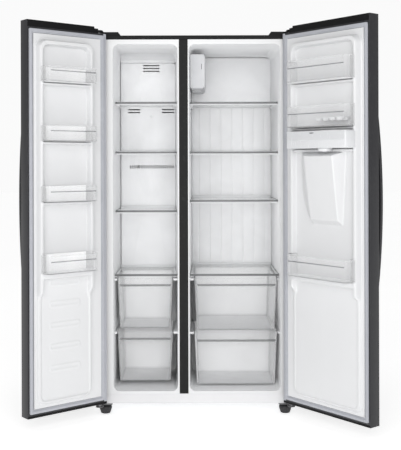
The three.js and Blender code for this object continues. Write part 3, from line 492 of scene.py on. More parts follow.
def pillow(bm, section, thickness, radius, rounding, segments=6):
    """A rounded plate of that thickness with softened edges on both faces."""
    w0 = section[4]
    w1 = w0 + thickness
    steps = (0.0, 0.4, 1.0)
    rise = [inset_section(section, rounding * (1 - math.sin(QUARTER * s)),
                          w0 + rounding * (1 - math.cos(QUARTER * s))) for s in steps]
    fall = [inset_section(section, rounding * (1 - math.cos(QUARTER * s)),
                          w1 - rounding * (1 - math.sin(QUARTER * s))) for s in steps]
    lofted(bm, rise + fall, max(radius - rounding, 0.5), segments)


def block(bm, low, high, rounding, segments=2, finish=0):
    """A block with rounded edges."""
    made = bmesh.ops.create_cube(bm, size=1.0)["verts"]
    for vert in made:
        vert.co = Vector(lerp(low[i], high[i], vert.co[i] + 0.5) for i in range(3))
    edges = list({edge for vert in made for edge in vert.link_edges})
    known = set(bm.faces) - {face for vert in made for face in vert.link_faces}
    bmesh.ops.bevel(bm, geom=edges, offset=rounding, segments=segments, profile=0.5,
                    affect="EDGES", material=-1)
    for face in set(bm.faces) - known:
        face.material_index = finish


def spun(bm, profile, centre, steps=32, axis="Z", finish=0):
    """A turned body from a (radius, height) profile whose ends lie on the axis."""
    known = set(bm.faces)
    verts = [bm.verts.new((radius, 0, height)) for radius, height in profile]
    edges = [bm.edges.new(pair) for pair in zip(verts, verts[1:])]
    bmesh.ops.spin(bm, geom=verts + edges, cent=(0, 0, 0), axis=(0, 0, 1), dvec=(0, 0, 0),
                   angle=2 * math.pi, steps=steps, use_merge=True, use_duplicate=False)
    faces = [face for face in bm.faces if face not in known]
    points = list({vert for face in faces for vert in face.verts})
    bmesh.ops.remove_doubles(bm, verts=points, dist=1e-4)
    faces = [face for face in bm.faces if face not in known]
    bmesh.ops.recalc_face_normals(bm, faces=faces)
    points = list({vert for face in faces for vert in face.verts})
    turn = {"Z": Matrix.Identity(4), "X": Matrix.Rotation(QUARTER, 4, "Y"),
            "Y": Matrix.Rotation(-QUARTER, 4, "X"), "-Y": Matrix.Rotation(QUARTER, 4, "X")}[axis]
    bmesh.ops.transform(bm, matrix=Matrix.Translation(centre) @ turn, verts=points)
    for face in faces:
        face.material_index = finish


def drawn(bm, outline, start, reach, finish=0):
    """Draws a flat outline of a few points, given in 3-D, out along a vector."""
    known = set(bm.faces)
    face = bm.faces.new([bm.verts.new(Vector(point) + Vector(start)) for point in outline])
    made = bmesh.ops.extrude_face_region(bm, geom=[face])["geom"]
    moved = [item for item in made if isinstance(item, bmesh.types.BMVert)]
    bmesh.ops.translate(bm, verts=moved, vec=Vector(reach))
    faces = [face for face in bm.faces if face not in known]
    bmesh.ops.recalc_face_normals(bm, faces=faces)
    for face in faces:
        face.material_index = finish
    return faces


def sharp_edges(bm, angle=30, where=lambda a, b: True):
    limit = math.radians(angle)
    return [edge for edge in bm.edges
            if len(edge.link_faces) == 2 and edge.calc_face_angle(0) > limit
            and where(edge.verts[0].co, edge.verts[1].co)]


def round_edges(bm, edges, rounding, segments=2):
    if edges:
        bmesh.ops.bevel(bm, geom=edges, offset=rounding, segments=segments, profile=0.5,
                        affect="EDGES", material=-1, clamp_overlap=True)


def merged_copy(node, place):
    """A merged copy of a node of the model, in the given frame, with whole flat faces."""
    bm = bmesh.new()
    bm.from_mesh(frame["nodes"][node].data)
    bm.transform(place.inverted())
    if place.determinant() < 0:
        bmesh.ops.reverse_faces(bm, faces=bm.faces)
    bmesh.ops.remove_doubles(bm, verts=bm.verts, dist=0.01)
    bmesh.ops.dissolve_limit(bm, angle_limit=math.radians(0.6), verts=bm.verts, edges=bm.edges)
    for face in bm.faces:
        face.material_index = 0
    return bm


def softened(node, name, finish, body, place, rounding, segments=2, crease=25):
    """A node of the model with its sharp edges rounded."""
    bm = merged_copy(node, place)
    round_edges(bm, sharp_edges(bm), rounding, segments)
    return finish_piece(name, bm, [finish], body, [node], place, crease)


def screw_head(bm, centre, axis, radius=4.5, finish=0):
    """A pan head screw with a recess. It stands out along the axis, +Y for 'Y'."""
    height = radius * 0.45
    profile = [(0, 0), (radius, 0), (radius, height * 0.5), (radius * 0.72, height),
               (radius * 0.3, height), (radius * 0.22, height * 0.4), (0, height * 0.4)]
    spun(bm, profile, centre, 14, axis, finish)


# ---------------------------------------------------------------- cabinet

LINER_WALL = 2.5
LOWER_BACK = 383
MOUTH_ROUNDING = 8
BACK_ROUNDING = 11


def keep(node, finish):
    """Leaves a node of the model as it is and gives it its finish."""
    piece = frame["nodes"][node]
    if not piece.material_slots:
        piece.data.materials.append(finish)
    for holder in piece.material_slots:
        holder.material = finish


def near(value, levels, reach=0.6):
    return any(abs(value - level) < reach for level in levels)


def compartment_liner(node):
    """The formed liner of a compartment with its rolled mouth and rounded back corners."""
    bm = merged_copy(node, CABINET)
    low, high = span(node, CABINET)

    def on_mouth(a, b):
        return all(p.y < 0.05 and low.x + 1 < p.x < high.x - 1 and low.z + 1 < p.z < high.z - 1
                   for p in (a, b))

    backs = (LOWER_BACK, LOWER_BACK + LINER_WALL, high.y - LINER_WALL, high.y)
    def at_back(a, b):
        return near(a.y, backs) and near(b.y, backs)

    round_edges(bm, sharp_edges(bm, 50, on_mouth), MOUTH_ROUNDING, 4)
    round_edges(bm, sharp_edges(bm, 50, at_back), BACK_ROUNDING, 3)
    round_edges(bm, sharp_edges(bm, 60, lambda a, b: 60 < a.y < 360 and 60 < b.y < 360), 1.4, 2)
    finish_piece(node + "_sheet", bm, [LINER_WHITE], "cabinet", [node], CABINET, 40)


def cabinet_case():
    softened("outer_wrap", "cabinet_wrap", GRAPHITE, "cabinet", CABINET, 0.5)
    keep("back_panel", ZINC_SHEET)
    softened("base_plate", "base_tray", ZINC_SHEET, "cabinet", CABINET, 0.5)
    softened("machine_room_cover", "machine_room_grille", ZINC_SHEET, "cabinet",
             CABINET, 0.4)
    softened("kick_panel", "front_sill", WHITE_ENAMEL, "cabinet", CABINET, 0.3)
    softened("top_trim", "top_front_bar", BLACK_PLASTIC, "cabinet", CABINET, 1.6)
    softened("divider_strip", "divider_face", STRIP_ENAMEL, "cabinet", CABINET, 0.8)
    compartment_liner("freezer_liner")
    compartment_liner("fridge_liner")
    keep("cabinet_foam", FOAM)


SCREW_RADIUS = 4.2
COVER_SCREW_XS = (-430, -215, 0, 215, 430)
BACK_SCREW_ZS = (420, 760, 1100, 1440, 1700)


def back_screws():
    """Screws that hold the back panel and the machine room cover."""
    bm = bmesh.new()
    low, high = span("machine_room_cover", CABINET)
    face_y = high.y - 14
    for x in COVER_SCREW_XS:
        screw_head(bm, (x, face_y, high.z - 10), "Y", SCREW_RADIUS)
        screw_head(bm, (x, face_y, low.z + 12), "Y", SCREW_RADIUS)
    back_high = span("outer_wrap", CABINET)[1]
    for z in BACK_SCREW_ZS:
        for side in (-1, 1):
            spot = (side * (back_high.x - 9), back_high.y + 1.6, z)
            screw_head(bm, spot, "Y", SCREW_RADIUS)
    finish_piece("back_screws", bm, [PLATED], "cabinet", (), CABINET)


def machinery():
    softened("compressor", "compressor_shell", PUMP_BLACK, "cabinet", CABINET,
             1.5, 2, 40)
    keep("evaporator", FIN_ALUMINIUM)
    keep("evaporator_fan", BLACK_PLASTIC)


HOOD_SCREW_X = 400
HOOD_SCREW_Y = 60


def hinge_set(side):
    """Hinge hood, hinge plates, front foot and rear roller of one side of the cabinet."""
    softened(f"hinge_cover_{side}", f"hinge_hood_{side}", BLACK_PLASTIC, "cabinet",
             CABINET, 2.4, 3)
    softened(f"upper_hinge_{side}", f"upper_hinge_plate_{side}", BLACKENED, "cabinet",
             CABINET, 0.6)
    softened(f"lower_hinge_{side}", f"lower_hinge_plate_{side}", BLACKENED, "cabinet",
             CABINET, 0.6)
    sign = -1 if side == "left" else 1
    cover_top = span(f"hinge_cover_{side}", CABINET)[1].z
    bm = bmesh.new()
    screw_head(bm, (sign * HOOD_SCREW_X, HOOD_SCREW_Y, cover_top - 0.5), "Z", 4)
    finish_piece(f"hinge_hood_screw_{side}", bm, [BLACK_PLASTIC], "cabinet", (),
                 CABINET)
    lever_foot(side)
    keep(f"rear_roller_{side}", FOOT_RUBBER)


THREAD_TURNS = 7
THREAD_START = 44
THREAD_PITCH = 2.6
FOOT_RIBS = 18


def lever_foot(side):
    """An adjustable front foot: a ribbed cup that is turned by hand, and its threaded stem."""
    node = f"front_foot_{side}"
    low, high = span(node, CABINET)
    centre = (low + high) / 2
    outer = (high.x - low.x) / 2
    cup = [(0, 0), (outer - 11, 0), (outer - 8.5, 1.2), (outer - 7, 4), (outer - 3.5, 14),
           (outer - 1.2, 22), (outer - 0.4, 29), (outer - 3, 33), (outer - 6, 35.6), (13, 38),
           (12, 42.4), (5, 43), (5, 66), (0, 66)]
    bm = bmesh.new()
    spun(bm, cup, (0, 0, 0), 72)
    for vert in bm.verts:
        reach = math.hypot(vert.co.x, vert.co.y)
        if reach > outer - 8 and 3 < vert.co.z < 34:
            rib = 0.5 + 0.5 * math.cos(FOOT_RIBS * math.atan2(vert.co.y, vert.co.x))
            pull = 1 - 0.045 * ease(rib)
            vert.co.x *= pull
            vert.co.y *= pull
    thread = [(4, 0), (5, 0), (5.9, 0.7), (5.9, 1.1), (5, 1.8), (4, 1.8), (4, 0)]
    for turn in range(THREAD_TURNS):
        spun(bm, thread, (0, 0, THREAD_START + THREAD_PITCH * turn), 24)
    place = CABINET @ Matrix.Translation((centre.x, centre.y, 0))
    finish_piece(f"levelling_foot_{side}", bm, [FOOT_RUBBER], node, [node], place, 50)


# ---------------------------------------------------------------- freezer and fridge fittings


CEILING_DROP = 25.5


def freezer_back():
    """The cover over the evaporator, its fairing to the ceiling, its button and the sensor."""
    softened("evaporator_cover", "freezer_back_cover", PANEL_WHITE, "cabinet",
             CABINET, 0.8, 2)
    low, high = span("evaporator_cover", CABINET)
    ceiling = span("freezer_liner", CABINET)[1].z - CEILING_DROP
    section = [(-72, 0), (-26, -9.7), (0.2, -26.7), (1.5, -39.7), (13, -30.7), (13, 0)]
    bm = bmesh.new()
    drawn(bm, [(low.x - 1, low.y + y, ceiling + z) for y, z in section], (0, 0, 0),
          (high.x - low.x + 2, 0, 0))
    round_edges(bm, sharp_edges(bm, 20), 1.2, 2)
    finish_piece("cover_ceiling_fairing", bm, [PANEL_WHITE], "cabinet", (), CABINET)
    bm = bmesh.new()
    spun(bm, [(0, 0), (7.5, 0), (7.2, 1.6), (5.5, 3), (0, 3.6)], (-217, low.y, 1386), 24, "-Y")
    finish_piece("cover_button", bm, [PANEL_WHITE], "cabinet", (), CABINET)
    bm = bmesh.new()
    spun(bm, [(0, 0), (5.5, 0), (5.5, 4), (3.8, 5.6), (2, 5.6), (1.6, 4), (0, 4)],
         (-88, low.y, 1132), 24, "-Y")
    finish_piece("air_sensor", bm, [SENSOR_GREY], "cabinet", (), CABINET)


def fridge_back():
    softened("fridge_duct_cover", "fridge_back_duct", PANEL_WHITE, "cabinet",
             CABINET, 0.5, 2, 50)
    softened("lamp_box", "lamp_and_control_box", FROSTED, "cabinet", CABINET,
             3.0, 3)
    low = span("lamp_box", CABINET)[0]
    bm = bmesh.new()
    # Painted shade: the slit in the lamp box's front is drawn as a dark grey block 0.6 mm proud of
    # the face, in place of the shade inside a slit.
    block(bm, (32, low.y - 0.6, 1596), (34.4, low.y + 2, 1622), 0.5)
    finish_piece("lamp_box_slot", bm, [SENSOR_GREY], "cabinet", (), CABINET)
    bm = bmesh.new()
    pillow(bm, (-12, 34, low.y + 60, low.y + 250, low.z - 1.2), 2.4, 8, 0.8)
    finish_piece("lamp_lens", bm, [MILKY], "cabinet", (), CABINET)


NOSE_DROP = 8
COVER_NOSE_DROP = 3.4
GLASS_BOTTOM = 2
GLASS_TOP = 6


def glass_shelf(node, nose_drop=NOSE_DROP):
    """A toughened glass plate in a light front lip with a dark inlay, and a rear edge guard."""
    low, high = span(node, CABINET)
    rear = [p.x for p in points_of(node, CABINET) if p.y > high.y - 1]
    level = low.z + NOSE_DROP
    bm = bmesh.new()
    outline = [(low.x + 0.6, low.y + 3, 0), (high.x - 0.6, low.y + 3, 0),
               (max(rear) - 0.6, high.y - 2, 0), (min(rear) + 0.6, high.y - 2, 0)]
    plate = drawn(bm, outline, (0, 0, level + GLASS_BOTTOM), (0, 0, GLASS_TOP - GLASS_BOTTOM))
    for face in plate:
        face.material_index = 0 if abs(face.normal.z) > 0.9 else 1
    round_edges(bm, sharp_edges(bm), 0.4, 1)
    block(bm, (low.x, low.y + 1, level - nose_drop), (high.x, low.y + 9, level + 2), 1.4, 3, 2)
    block(bm, (low.x, low.y, level - 3.4), (high.x, low.y + 3.2, level + 3.2), 0.7, 2, 3)
    block(bm, (min(rear), high.y - 6, level + GLASS_BOTTOM - 1), (max(rear), high.y, level + 14),
          1.4, 2, 2)
    finish_piece(node + "_plate", bm, [GLASS, GLASS_EDGE, SHELF_WHITE, SHELF_TRIM], "cabinet",
                 [node], CABINET)


DRAWER_WALL = 2.5
DRAWER_DRAFT = 10
DRAWER_RIM = 6


def clear_drawer(node, left, right, grip_drop, foot_pull):
    """A clear drawer: drafted tray with a riding rim and a smoked grip across its front."""
    low, high = span(node, CABINET)
    face_y = low.y + 8
    t = DRAWER_WALL
    top = (low.x + left, high.x - right, face_y + 3, high.y, high.z)
    foot = (top[0] + DRAWER_DRAFT, top[1] - DRAWER_DRAFT, face_y + 9, high.y - foot_pull, low.z)
    flange = (top[0] - DRAWER_RIM, top[1] + DRAWER_RIM, top[2] + 4, high.y, high.z)
    bm = bmesh.new()
    lofted(bm, [
        inset_section(foot, t + 9, low.z + t),
        inset_section(foot, t + 2.6, low.z + t + 2.6),
        inset_section(foot, t, low.z + t + 9),
        inset_section(top, t, high.z - 1.2),
        inset_section(top, t - 0.6, high.z),
        inset_section(flange, 0.8, high.z),
        inset_section(flange, 0, high.z - 0.8),
        inset_section(flange, 0, high.z - 4),
        inset_section(top, 0, high.z - 4),
        inset_section(foot, 0, low.z + 8),
        inset_section(foot, 2.4, low.z + 2.4),
        inset_section(foot, 9, low.z),
    ], 12, 6)
    for face in bm.faces:
        centre = face.calc_center_median()
        rise = (centre.z - low.z) / (high.z - low.z)
        at_rear = centre.y > lerp(foot[3], top[3], rise) - t - 1.5
        on_floor = centre.z < low.z + t + 1 and centre.y > foot[2] + 12
        if at_rear or on_floor:
            face.material_index = 1
        elif abs(face.normal.x) > 0.8:
            face.material_index = 2
    finish_piece(node + "_tray", bm, [CLEAR_DRAWER, DRAWER_BACK, DRAWER_SIDE], node,
                 [node], CABINET, 60)
    grip = high.z - grip_drop
    bm = bmesh.new()
    x0, x1 = top[0] + 12, top[1] - 8
    block(bm, (x0, low.y, grip - 1.5), (x1, face_y + 4.4, grip + 2.2), 1.2, 3, 0)
    block(bm, (x0 + 2, low.y + 0.4, grip - 6), (x1 - 2, low.y + 3, grip), 1.0, 2, 0)
    finish_piece(node + "_grip", bm, [GRIP_GREY], node, (), CABINET)


def fittings():
    freezer_back()
    fridge_back()
    for number in (1, 2, 3):
        glass_shelf(f"freezer_shelf_{number}")
        glass_shelf(f"fridge_shelf_{number}")
    glass_shelf("freezer_drawer_cover", COVER_NOSE_DROP)
    glass_shelf("crisper_cover", COVER_NOSE_DROP)
    clear_drawer("freezer_drawer_upper", 8, 17, 32, 25)
    clear_drawer("freezer_drawer_lower", 8, 17, 33, 25)
    clear_drawer("crisper_upper", 16, 7, 32, 13)
    clear_drawer("crisper_lower", 16, 7, 40, 22)


# ---------------------------------------------------------------- doors

FLANGE_FACE = 34
SHEET_BACK = 30.4
DYKE_TOP = 70
DYKE_WIDTH = 26
FIELD_FLOOR = 37
LOWER_FACE = 46
RECESS_DEPTH = 4
LEDGE_FACE = 68
LEDGE_HEIGHT = 15
FREEZER_PLUG = (66, 345)
FRIDGE_PLUG = (56, 448)
PLUG_BOTTOM = 118
PLUG_TOP = 1684
FIELD_TOP = 1655
BLEND_BOTTOM = 574
BLEND_TOP = 606
RIBS = 5
RIB_PITCH = 92
RIB_BOTTOM = 250
RIB_HEIGHT = 34
RIB_RISE = 1.4
BULGE = (186, 338, 890, 1188)
BULGE_SHALLOW = 62
BULGE_DEEP = 104
TANK_LEDGE_HEIGHT = 17


def outline_distance(x, z, x0, x1, z0, z1, radius):
    """Distance from the outline of a rounded rectangle, negative inside it."""
    u = abs(x - (x0 + x1) / 2) - (x1 - x0) / 2 + radius
    v = abs(z - (z0 + z1) / 2) - (z1 - z0) / 2 + radius
    return min(max(u, v), 0) + math.hypot(max(u, 0), max(v, 0)) - radius


def shoulder(distance, width):
    """0 outside an outline, 1 once that far inside it, smooth in between."""
    return ease(-distance / width)


def ramp(t, soft=0.22):
    """A straight 0 to 1 slope for t from 0 to 1 with rounded ends."""
    t = min(max(t, 0.0), 1.0)
    if t < soft:
        rise = t * t / (2 * soft)
    elif t > 1 - soft:
        rise = 1 - soft - (1 - t) ** 2 / (2 * soft)
    else:
        rise = t - soft / 2
    return rise / (1 - soft)


def band(z, z0, z1, soft):
    """1 between two levels, 0 outside them, with soft steps inside the levels."""
    return shoulder(max(z0 - z, z - z1), soft)


class DoorLiner:
    """The relief of a door's formed inner liner, in the frame of the door."""

    def __init__(self, place, plug, bins, tank_bottom=None):
        self.place = place
        self.plug = plug
        self.bin_bottoms = [span(node, place)[0].z for node in bins]
        self.lowest = self.bin_bottoms[-1]
        self.tank_bottom = tank_bottom

    def field(self, z):
        """Floor of the field between the dykes at a level, with its ledges."""
        under = self.lowest - 2 * LEDGE_HEIGHT
        if z < under + 4:
            return lerp(LOWER_FACE, LEDGE_FACE, ease((z - under) / 4))
        level = FIELD_FLOOR
        for bottom in self.bin_bottoms[:-1]:
            level += (LEDGE_FACE - FIELD_FLOOR) * band(z, bottom - LEDGE_HEIGHT, bottom - 0.6, 3.5)
        level += (LEDGE_FACE - FIELD_FLOOR) * band(z, under - 20, self.lowest - 0.6, 3.5)
        return level

    def height(self, x, z):
        x0, x1 = self.plug
        edge = outline_distance(x, z, x0, x1, PLUG_BOTTOM, PLUG_TOP, 40)
        wall = shoulder(edge, 9)
        if wall == 0:
            lip = outline_distance(x, z, x0 - 9, x1 + 9, PLUG_BOTTOM - 9, PLUG_TOP + 9, 48)
            return FLANGE_FACE + 1.6 * shoulder(abs(lip + 4) - 4, 4)
        dyke = lerp(LOWER_FACE, DYKE_TOP, ease((z - BLEND_BOTTOM) / (BLEND_TOP - BLEND_BOTTOM)))
        channel_edge = outline_distance(
            x, z, x0 + DYKE_WIDTH - 7, x1 - DYKE_WIDTH + 7, BLEND_BOTTOM - 80, FIELD_TOP + 7, 34)
        channel = shoulder(channel_edge, 7)
        inner = lerp(dyke, self.field(z), channel)
        recess_top = self.lowest - 2 * LEDGE_HEIGHT
        recess = shoulder(outline_distance(x, z, x0 + 12, x1 - 18, 130, recess_top, 26), 6)
        recess *= max(channel, 1 - ease((z - BLEND_BOTTOM + 20) / 20))
        inner -= RECESS_DEPTH * recess
        for number in range(RIBS):
            z0 = RIB_BOTTOM + number * RIB_PITCH
            rib = outline_distance(x, z, x0 + 60, x1 - 60, z0, z0 + RIB_HEIGHT, 14)
            groove = outline_distance(x, z, x0 + 68, x1 - 68, z0 + 8, z0 + RIB_HEIGHT - 8, 8)
            inner += RIB_RISE * (shoulder(rib, 6) - 0.9 * shoulder(groove, 6))
        if self.tank_bottom:
            inner = max(inner, self.bulge_height(x, z))
        return FLANGE_FACE + (inner - FLANGE_FACE) * wall

    def bulge_height(self, x, z):
        """The hump over the dispenser: it leans out towards its top and fades to the hinge side."""
        x0, x1, z0, z1 = BULGE
        t = min(max((z - z0) / (z1 - z0), 0), 1)
        face = lerp(BULGE_SHALLOW, BULGE_DEEP, t)
        hinge_side = 8 + 71 * (1 - (1 - t) ** 4)
        free_side = lerp(16, 36, t)
        rise = min(ramp((x - x0 + hinge_side) / hinge_side), ramp((x1 + free_side - x) / free_side),
                   ramp((z - z0 + 6) / 24), ramp((z1 + 14 - z) / 24))
        top = self.tank_bottom
        shelf = outline_distance(x, z, self.plug[0] + 25, self.plug[1] - 25,
                                 top - TANK_LEDGE_HEIGHT, top - 0.6, 2)
        return max(lerp(LOWER_FACE - 2, face, rise),
                   FIELD_FLOOR + (LEDGE_FACE - FIELD_FLOOR) * shoulder(shelf, 3.5))

    def fine_bands(self):
        """Spans along x and z where the relief is steep and needs closer lines."""
        x0, x1 = self.plug
        along_x = [(x0 - 10, x0 + 46), (x1 - 46, x1 + 10)]
        along_z = [(PLUG_BOTTOM - 10, PLUG_BOTTOM + 46), (PLUG_TOP - 66, PLUG_TOP + 10)]
        along_z += [(b - LEDGE_HEIGHT - 2, b + 2) for b in self.bin_bottoms[:-1]]
        along_z += [(self.lowest - 2 * LEDGE_HEIGHT - 30, self.lowest + 2)]
        along_z += [(BLEND_BOTTOM - 20, BLEND_BOTTOM + 8)]
        for number in range(RIBS):
            z0 = RIB_BOTTOM + number * RIB_PITCH
            along_z.append((z0 - 1, z0 + RIB_HEIGHT + 1))
        along_x += [(x0 + 58, x0 + 84), (x1 - 84, x1 - 58)]
        if self.tank_bottom:
            bx0, bx1, bz0, bz1 = BULGE
            along_x += [(bx0 - 80, bx0 + 10), (bx1 - 6, bx1 + 38)]
            along_z += [(bz0 - 8, bz0 + 24), (bz1 - 14, self.tank_bottom + 2)]
        return along_x, along_z


def spaced_lines(start, end, coarse, fine, bands):
    """Line positions from start to end, closer together inside the bands."""
    lines = [start]
    while lines[-1] < end - 0.01:
        here = lines[-1]
        tight = any(low - 0.01 <= here < high for low, high in bands)
        step = fine if tight else coarse
        ahead = [low - here for low, _ in bands if low - here > 0.05]
        if not tight and ahead:
            step = min(step, min(ahead))
        lines.append(min(here + step, end))
    return lines


def formed_liner(node, name, relief, body):
    """A thin formed sheet that follows the relief, with its own thickness and a closed rim."""
    low, high = span(node, relief.place)
    along_x, along_z = relief.fine_bands()
    xs = spaced_lines(low.x + 0.5, high.x - 0.5, 9, 2.4, along_x)
    zs = spaced_lines(low.z + 0.5, high.z - 0.5, 9, 2.4, along_z)
    bm = bmesh.new()
    grid = bmesh.ops.create_grid(bm, x_segments=len(xs) - 1, y_segments=len(zs) - 1, size=0.5)
    for vert in grid["verts"]:
        column = round((vert.co.x + 0.5) * (len(xs) - 1))
        row = round((vert.co.y + 0.5) * (len(zs) - 1))
        x, z = xs[column], zs[row]
        vert.co = Vector((x, z, relief.height(x, z)))
    copied = bmesh.ops.duplicate(bm, geom=bm.verts[:] + bm.edges[:] + bm.faces[:])["geom"]
    for vert in (item for item in copied if isinstance(item, bmesh.types.BMVert)):
        rise = ease((vert.co.z - FLANGE_FACE) / 3)
        vert.co.z -= lerp(FLANGE_FACE - SHEET_BACK, 1.6, rise)
    bmesh.ops.reverse_faces(bm, faces=[f for f in copied if isinstance(f, bmesh.types.BMFace)])
    bmesh.ops.bridge_loops(bm, edges=open_rim(bm))
    bmesh.ops.recalc_face_normals(bm, faces=bm.faces)
    finish_piece(name, bm, [DOOR_WHITE], body, [node], relief.place @ SWAP_YZ, 85)


SEAL_PROFILE = ((0, 0), (0.3, 2.2), (2.4, 2.8), (2.8, 4.2), (0.8, 4.9), (0.8, 6.3), (1.8, 6.9),
                (11.4, 6.9), (12.4, 6.2), (12.6, 4.4), (13.6, 3.7), (17, 3.5), (18, 2.6), (18, 0))


def magnetic_seal(node, name, place, body):
    """The door seal: a magnet bulb on a pleated foot, all round the door."""
    low, high = span(node, place)
    base = (low.x, high.x, low.z, high.z, low.y)
    bm = bmesh.new()
    sections = [inset_section(base, inset, low.y + rise) for inset, rise in SEAL_PROFILE]
    rounded_plate(bm, sections[0], 6, 4)
    plate = bm.faces[:]
    for old, new in zip(sections, sections[1:]):
        carry_rim(bm, old, new)
    bmesh.ops.delete(bm, geom=plate, context="FACES_ONLY")
    bmesh.ops.bridge_loops(bm, edges=open_rim(bm))
    bmesh.ops.recalc_face_normals(bm, faces=bm.faces)
    finish_piece(name, bm, [GASKET_GREY], body, [node], place @ SWAP_YZ, 50)


def door_shell(body, place):
    """Painted skin of a door. The margin beside the seal at the hinge is the grey edge profile."""
    node = f"{body}_shell"
    bm = merged_copy(node, place)
    round_edges(bm, sharp_edges(bm), 0.8, 2)
    seal_edge = span(f"{body}_gasket", place)[0].x + 1
    everything = bm.verts[:] + bm.edges[:] + bm.faces[:]
    bmesh.ops.bisect_plane(bm, geom=everything, plane_co=(seal_edge, 0, 0), plane_no=(1, 0, 0))
    rear = span(node, place)[1].y
    for face in bm.faces:
        centre = face.calc_center_median()
        if centre.x < seal_edge and centre.y > rear - 2:
            face.material_index = 1
    finish_piece(f"{body}_skin", bm, [DOOR_SKIN, GASKET_GREY], body, [node], place,
                 25)


def door_skin(kind, place):
    """Shell, caps and handle of a door."""
    body = f"{kind}_door"
    door_shell(body, place)
    softened(f"{body}_top_cap", f"{body}_upper_trim", BLACK_PLASTIC, body, place,
             1.0)
    softened(f"{body}_bottom_cap", f"{body}_lower_trim", BLACK_PLASTIC, body,
             place, 0.8)
    softened(f"{body}_handle", f"{body}_bow_handle", DOOR_SKIN, body, place, 2.6, 3)


CLEAR_RIDGE_REACH = 0.3
BIN_BACK_REACH = 5
BIN_FLOOR_REACH = 2.7


def door_bin(node, place):
    """A clear door bin with a frosted back and floor. Its front ridge is dark grey, a painted
    shadow line along its front.
    """
    bm = merged_copy(node, place)
    low, high = span(node, place)
    round_edges(bm, sharp_edges(bm, 40), 0.7, 2)
    for face in bm.faces:
        centre = face.calc_center_median()
        # Painted shadow: the faces of the front ridge take the dark grey shadow-line plastic.
        if centre.y > high.y - 2 + CLEAR_RIDGE_REACH:
            face.material_index = 1
        elif centre.y < low.y + BIN_BACK_REACH or centre.z < low.z + BIN_FLOOR_REACH:
            face.material_index = 2
    finish_piece(node + "_box", bm, [CLEAR_BIN, LINE_GREY, DRAWER_BACK], node,
                 [node], place, 40)
    front = [p.x for p in points_of(node, place) if p.y > high.y - 2.5]
    bm = bmesh.new()
    block(bm, (min(front), high.y - 5.6, high.z - 4.2), (max(front), high.y - 2, high.z), 1.2, 3)
    finish_piece(node + "_rim_bead", bm, [CLEAR_BIN], node, (), place)


EGG_FLOOR_RISE = 34
EGG_CUP_START = (269, 64)
EGG_CUP_PITCH = (38, 34)
EGG_CUP = ((0, -14), (8, -13.5), (14.5, -9), (17, 2.6), (15.6, 2.6), (13.4, -8), (7.4, -12),
           (0, -12.4))


def egg_tray(node, place):
    """A white tray with egg cups that stands in a door bin."""
    bm = bmesh.new()
    floor = span(node, place)[0].z + EGG_FLOOR_RISE
    pillow(bm, (250, 402, 46, 116, floor), 3, 10, 1)
    for column in range(4):
        for row in range(2):
            x = EGG_CUP_START[0] + EGG_CUP_PITCH[0] * column
            y = EGG_CUP_START[1] + EGG_CUP_PITCH[1] * row
            spun(bm, EGG_CUP, (x, y, floor + 2), 20)
    finish_piece("egg_tray", bm, [SHELF_WHITE], node, (), place, 50)


SPOUT_X = 292
SPOUT_Y = 88
SPOUT_PROFILE = ((0, -0.4), (30, -0.4), (31, -3), (30, -10), (26, -13), (12, -13.6), (11, -15.5),
                 (0, -15.5))


def water_tank(place):
    """The dispenser's tank: milky body, white lid with a filler flap, and its outlet spout."""
    node = "water_tank"
    low, high = span(node, place)
    bm = merged_copy(node, place)
    ridge = [v for v in bm.verts if v.co.y > high.y - 1.9]
    for vert in ridge:
        vert.co.y = high.y - 2.2
    round_edges(bm, sharp_edges(bm, 40), 1.2, 2)
    finish_piece("tank_body", bm, [MILKY], "fridge_door", [node], place, 40)
    bm = bmesh.new()
    front = [p.x for p in points_of(node, place) if p.y > high.y - 2.5]
    plan = [(low.x + 4, 76, 0), (high.x - 4, 76, 0), (max(front) + 4, high.y - 4, 0),
            (min(front) - 4, high.y - 4, 0)]
    drawn(bm, plan, (0, 0, high.z - 4), (0, 0, 9))
    round_edges(bm, sharp_edges(bm), 2, 3)
    pillow(bm, (286, 372, 84, 112, high.z + 3), 4, 10, 1.4)
    block(bm, (236, high.y - 7, high.z - 8), (262, high.y - 2, high.z - 1), 1.2, 2, 1)
    finish_piece("tank_lid", bm, [SHELF_WHITE, LINE_GREY], "fridge_door", (),
                 place)
    bm = bmesh.new()
    spun(bm, SPOUT_PROFILE, (SPOUT_X, SPOUT_Y, low.z), 40)
    finish_piece("tank_spout", bm, [SHELF_WHITE], "fridge_door", (), place, 40)


GRILLE_BACK = 52


def dispenser(place):
    """The dispenser recess in the outer face, its paddle, drip grille and trim ring."""
    softened("dispenser_housing", "dispenser_recess_shell", BLACK_PLASTIC, "fridge_door",
             place, 0.8)
    softened("dispenser_lever", "dispenser_paddle", BLACK_PLASTIC, "dispenser_lever",
             place, 0.7)
    low, high = span("dispenser_housing", place)
    front = low.y + 8
    bm = bmesh.new()
    for number in range(9):
        x = low.x + 24 + number * (high.x - low.x - 48) / 8
        block(bm, (x - 2, front, low.z + 16.6), (x + 2, GRILLE_BACK, low.z + 20), 0.8, 2)
    for y in (front, GRILLE_BACK - 5):
        block(bm, (low.x + 18, y, low.z + 16.4), (high.x - 18, y + 4, low.z + 19), 0.8, 2)
    finish_piece("drip_grille", bm, [SENSOR_GREY], "fridge_door", (), place)


